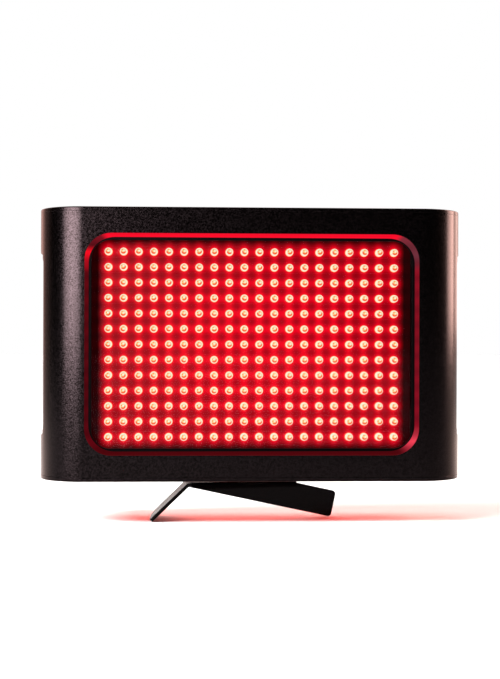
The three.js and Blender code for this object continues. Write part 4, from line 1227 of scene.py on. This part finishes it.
def add_camera():
    """Camera at the photograph's place and angle."""
    studio = bpy.context.scene.panel_studio
    camera = bpy.data.objects.new("camera", bpy.data.cameras.new("camera"))
    bpy.context.scene.collection.objects.link(camera)
    yaw, pitch, roll = studio.camera_yaw, studio.camera_pitch, studio.camera_roll
    ahead = Vector((math.sin(yaw) * math.cos(pitch), math.cos(yaw) * math.cos(pitch), math.sin(pitch)))
    level = ahead.cross(AXES["Z"]).normalized()
    above = level.cross(ahead)
    right = math.cos(roll) * level + math.sin(roll) * above
    up = math.cos(roll) * above - math.sin(roll) * level
    turn = Matrix((right, up, -ahead)).transposed().to_4x4()
    camera.matrix_world = Matrix.Translation(studio.camera_place) @ turn
    camera.data.lens = studio.camera_lens
    camera.data.sensor_width = 36
    camera.data.clip_start, camera.data.clip_end = 0.01, 50
    bpy.context.scene.camera = camera


def build_stage():
    """Pale table, white backdrop, soft lamps and the camera."""
    studio = bpy.context.scene.panel_studio
    build_world()
    floor = build_floor()
    sun = bpy.data.objects.new("table light", bpy.data.lights.new("table light", "SUN"))
    bpy.context.scene.collection.objects.link(sun)
    sun.data.energy = studio.table_strength
    sun.data.angle = math.radians(30)
    sun.rotation_euler = aim((0.8, 0.42, -1))
    light_only(sun, floor)
    # The LEDs' light on the table, from a lamp just under the housing.
    add_lamp("table glow", studio.glow_power, "#ff2c14", place=(0.02, 0.01, 0.019),
             target=(0.02, 0.01, 0), size=(0.24, 0.06), only=floor)
    # Soft boxes that show as highlights in glossy surfaces and give no other light.
    add_lamp("left soft box", studio.left_power, "#fff6f8", place=(-0.65, -0.86, 0.5),
             target=(-0.11, 0, 0.5), size=(0.76, 0.78), diffuse=False, spread=75)
    add_lamp("left rim lamp", studio.rim_power, "#ffcbc1", place=(-0.71, 0.69, 0.2),
             target=(-0.12, 0, 0.2), size=(0.4, 0.7), diffuse=False)
    add_lamp("right soft box", studio.right_power, "#ffe4da", place=(1.006, 0.156, 0.48),
             target=(0.12, 0, 0.48), size=(0.42, 0.7), diffuse=False)
    add_lamp("right edge lamp", studio.edge_power, "#ffe4da", place=(0.8, 0.59, 0.48),
             target=(0.12, 0, 0.48), size=(0.38, 0.7), diffuse=False)
    # Lamps that shade the table alone.
    add_lamp("table side", studio.side_power, "#ffffff", place=(-0.9, -0.2, 0.5),
             target=(-0.05, 0, 0), size=(0.25, 0.25), only=floor)
    add_lamp("table warm", studio.warm_power, "#ffeada", place=(0.9, 0.3, 0.45),
             target=(0.1, 0, 0), size=(0.5, 0.5), only=floor)
    add_lamp("table bounce", studio.bounce_power, "#fff4ee", place=(-0.7, 0.85, 0.5),
             target=(0, 0, 0), size=(1.4, 0.8), only=floor)
    add_lamp("top fill", studio.top_power, "#ffffff", place=(0, 0.1, 1.2),
             target=(0, 0, 0.1), size=(0.8, 0.8))
    add_camera()
    bpy.context.scene.view_settings.view_transform = "Standard"


# Operators

class LIGHTPANEL_OT_finishes(bpy.types.Operator):
    """Make the materials and dress the CAD nodes that stay"""

    bl_idname = "light_panel.finishes"
    bl_label = "Finishes"

    def execute(self, context):
        make_materials()
        dress_cad()
        return {"FINISHED"}


class LIGHTPANEL_OT_shell(bpy.types.Operator):
    """Model the extruded housing shell"""

    bl_idname = "light_panel.shell"
    bl_label = "Housing shell"

    def execute(self, context):
        build_shell()
        return {"FINISHED"}


class LIGHTPANEL_OT_caps(bpy.types.Operator):
    """Model the two end caps"""

    bl_idname = "light_panel.caps"
    bl_label = "End caps"

    def execute(self, context):
        build_caps()
        return {"FINISHED"}


class LIGHTPANEL_OT_window(bpy.types.Operator):
    """Model the bezel and the clear window sheet"""

    bl_idname = "light_panel.window"
    bl_label = "Window"

    def execute(self, context):
        build_window()
        return {"FINISHED"}


class LIGHTPANEL_OT_lights(bpy.types.Operator):
    """Model the LED board and the rows of lit domes"""

    bl_idname = "light_panel.lights"
    bl_label = "LED board and rows"

    def execute(self, context):
        build_board()
        build_led_rows()
        return {"FINISHED"}


class LIGHTPANEL_OT_cover(bpy.types.Operator):
    """Model the rear cover with its grilles"""

    bl_idname = "light_panel.cover"
    bl_label = "Rear cover"

    def execute(self, context):
        build_cover()
        return {"FINISHED"}


class LIGHTPANEL_OT_inlet(bpy.types.Operator):
    """Model the mains inlet"""

    bl_idname = "light_panel.inlet"
    bl_label = "Mains inlet"

    def execute(self, context):
        build_inlet()
        return {"FINISHED"}


class LIGHTPANEL_OT_switch(bpy.types.Operator):
    """Model the switch frame and its rocker"""

    bl_idname = "light_panel.switch"
    bl_label = "Rocker switch"

    def execute(self, context):
        build_switch()
        return {"FINISHED"}


class LIGHTPANEL_OT_screws(bpy.types.Operator):
    """Model the screws and copy them to their places"""

    bl_idname = "light_panel.screws"
    bl_label = "Screws"

    def execute(self, context):
        build_screws()
        return {"FINISHED"}


class LIGHTPANEL_OT_stand(bpy.types.Operator):
    """Model the folded steel stand"""

    bl_idname = "light_panel.stand"
    bl_label = "Folded stand"

    def execute(self, context):
        build_stand()
        return {"FINISHED"}


class LIGHTPANEL_OT_stage(bpy.types.Operator):
    """Set up floor, lamps, world and camera"""

    bl_idname = "light_panel.stage"
    bl_label = "Studio"

    def execute(self, context):
        build_stage()
        return {"FINISHED"}


STEPS = (
    LIGHTPANEL_OT_stage, LIGHTPANEL_OT_finishes, LIGHTPANEL_OT_shell, LIGHTPANEL_OT_caps,
    LIGHTPANEL_OT_window, LIGHTPANEL_OT_lights, LIGHTPANEL_OT_cover, LIGHTPANEL_OT_inlet,
    LIGHTPANEL_OT_switch, LIGHTPANEL_OT_screws, LIGHTPANEL_OT_stand,
)
GROUPS = {
    "panel_housing": HousingSizes,
    "panel_light": LightSizes,
    "panel_rear": RearSizes,
    "panel_stand": StandSizes,
    "panel_colours": FinishColours,
    "panel_studio": StudioSettings,
}


class LIGHTPANEL_PT_sidebar(bpy.types.Panel):
    """Sidebar panel that lists the modelling steps and their sizes"""

    bl_idname = "LIGHTPANEL_PT_sidebar"
    bl_label = "Light panel"
    bl_space_type = "VIEW_3D"
    bl_region_type = "UI"
    bl_category = "Light panel"

    def draw(self, context):
        for step in STEPS:
            self.layout.operator(step.bl_idname)
        for name in GROUPS:
            group = getattr(context.scene, name)
            box = self.layout.box()
            for key in group.__annotations__:
                box.prop(group, key)


def register():
    """Register the classes and hang the property groups on the scene."""
    for group in GROUPS.values():
        bpy.utils.register_class(group)
    for step in STEPS:
        bpy.utils.register_class(step)
    bpy.utils.register_class(LIGHTPANEL_PT_sidebar)
    for name, group in GROUPS.items():
        setattr(bpy.types.Scene, name, PointerProperty(type=group))


def unregister():
    """Undo register."""
    for name in GROUPS:
        delattr(bpy.types.Scene, name)
    bpy.utils.unregister_class(LIGHTPANEL_PT_sidebar)
    for step in reversed(STEPS):
        bpy.utils.unregister_class(step)
    for group in reversed(list(GROUPS.values())):
        bpy.utils.unregister_class(group)


def main():
    """Run every step in order."""
    register()
    for step in STEPS:
        getattr(bpy.ops.light_panel, step.bl_idname.split(".")[1])()


if __name__ == "__main__":
    main()
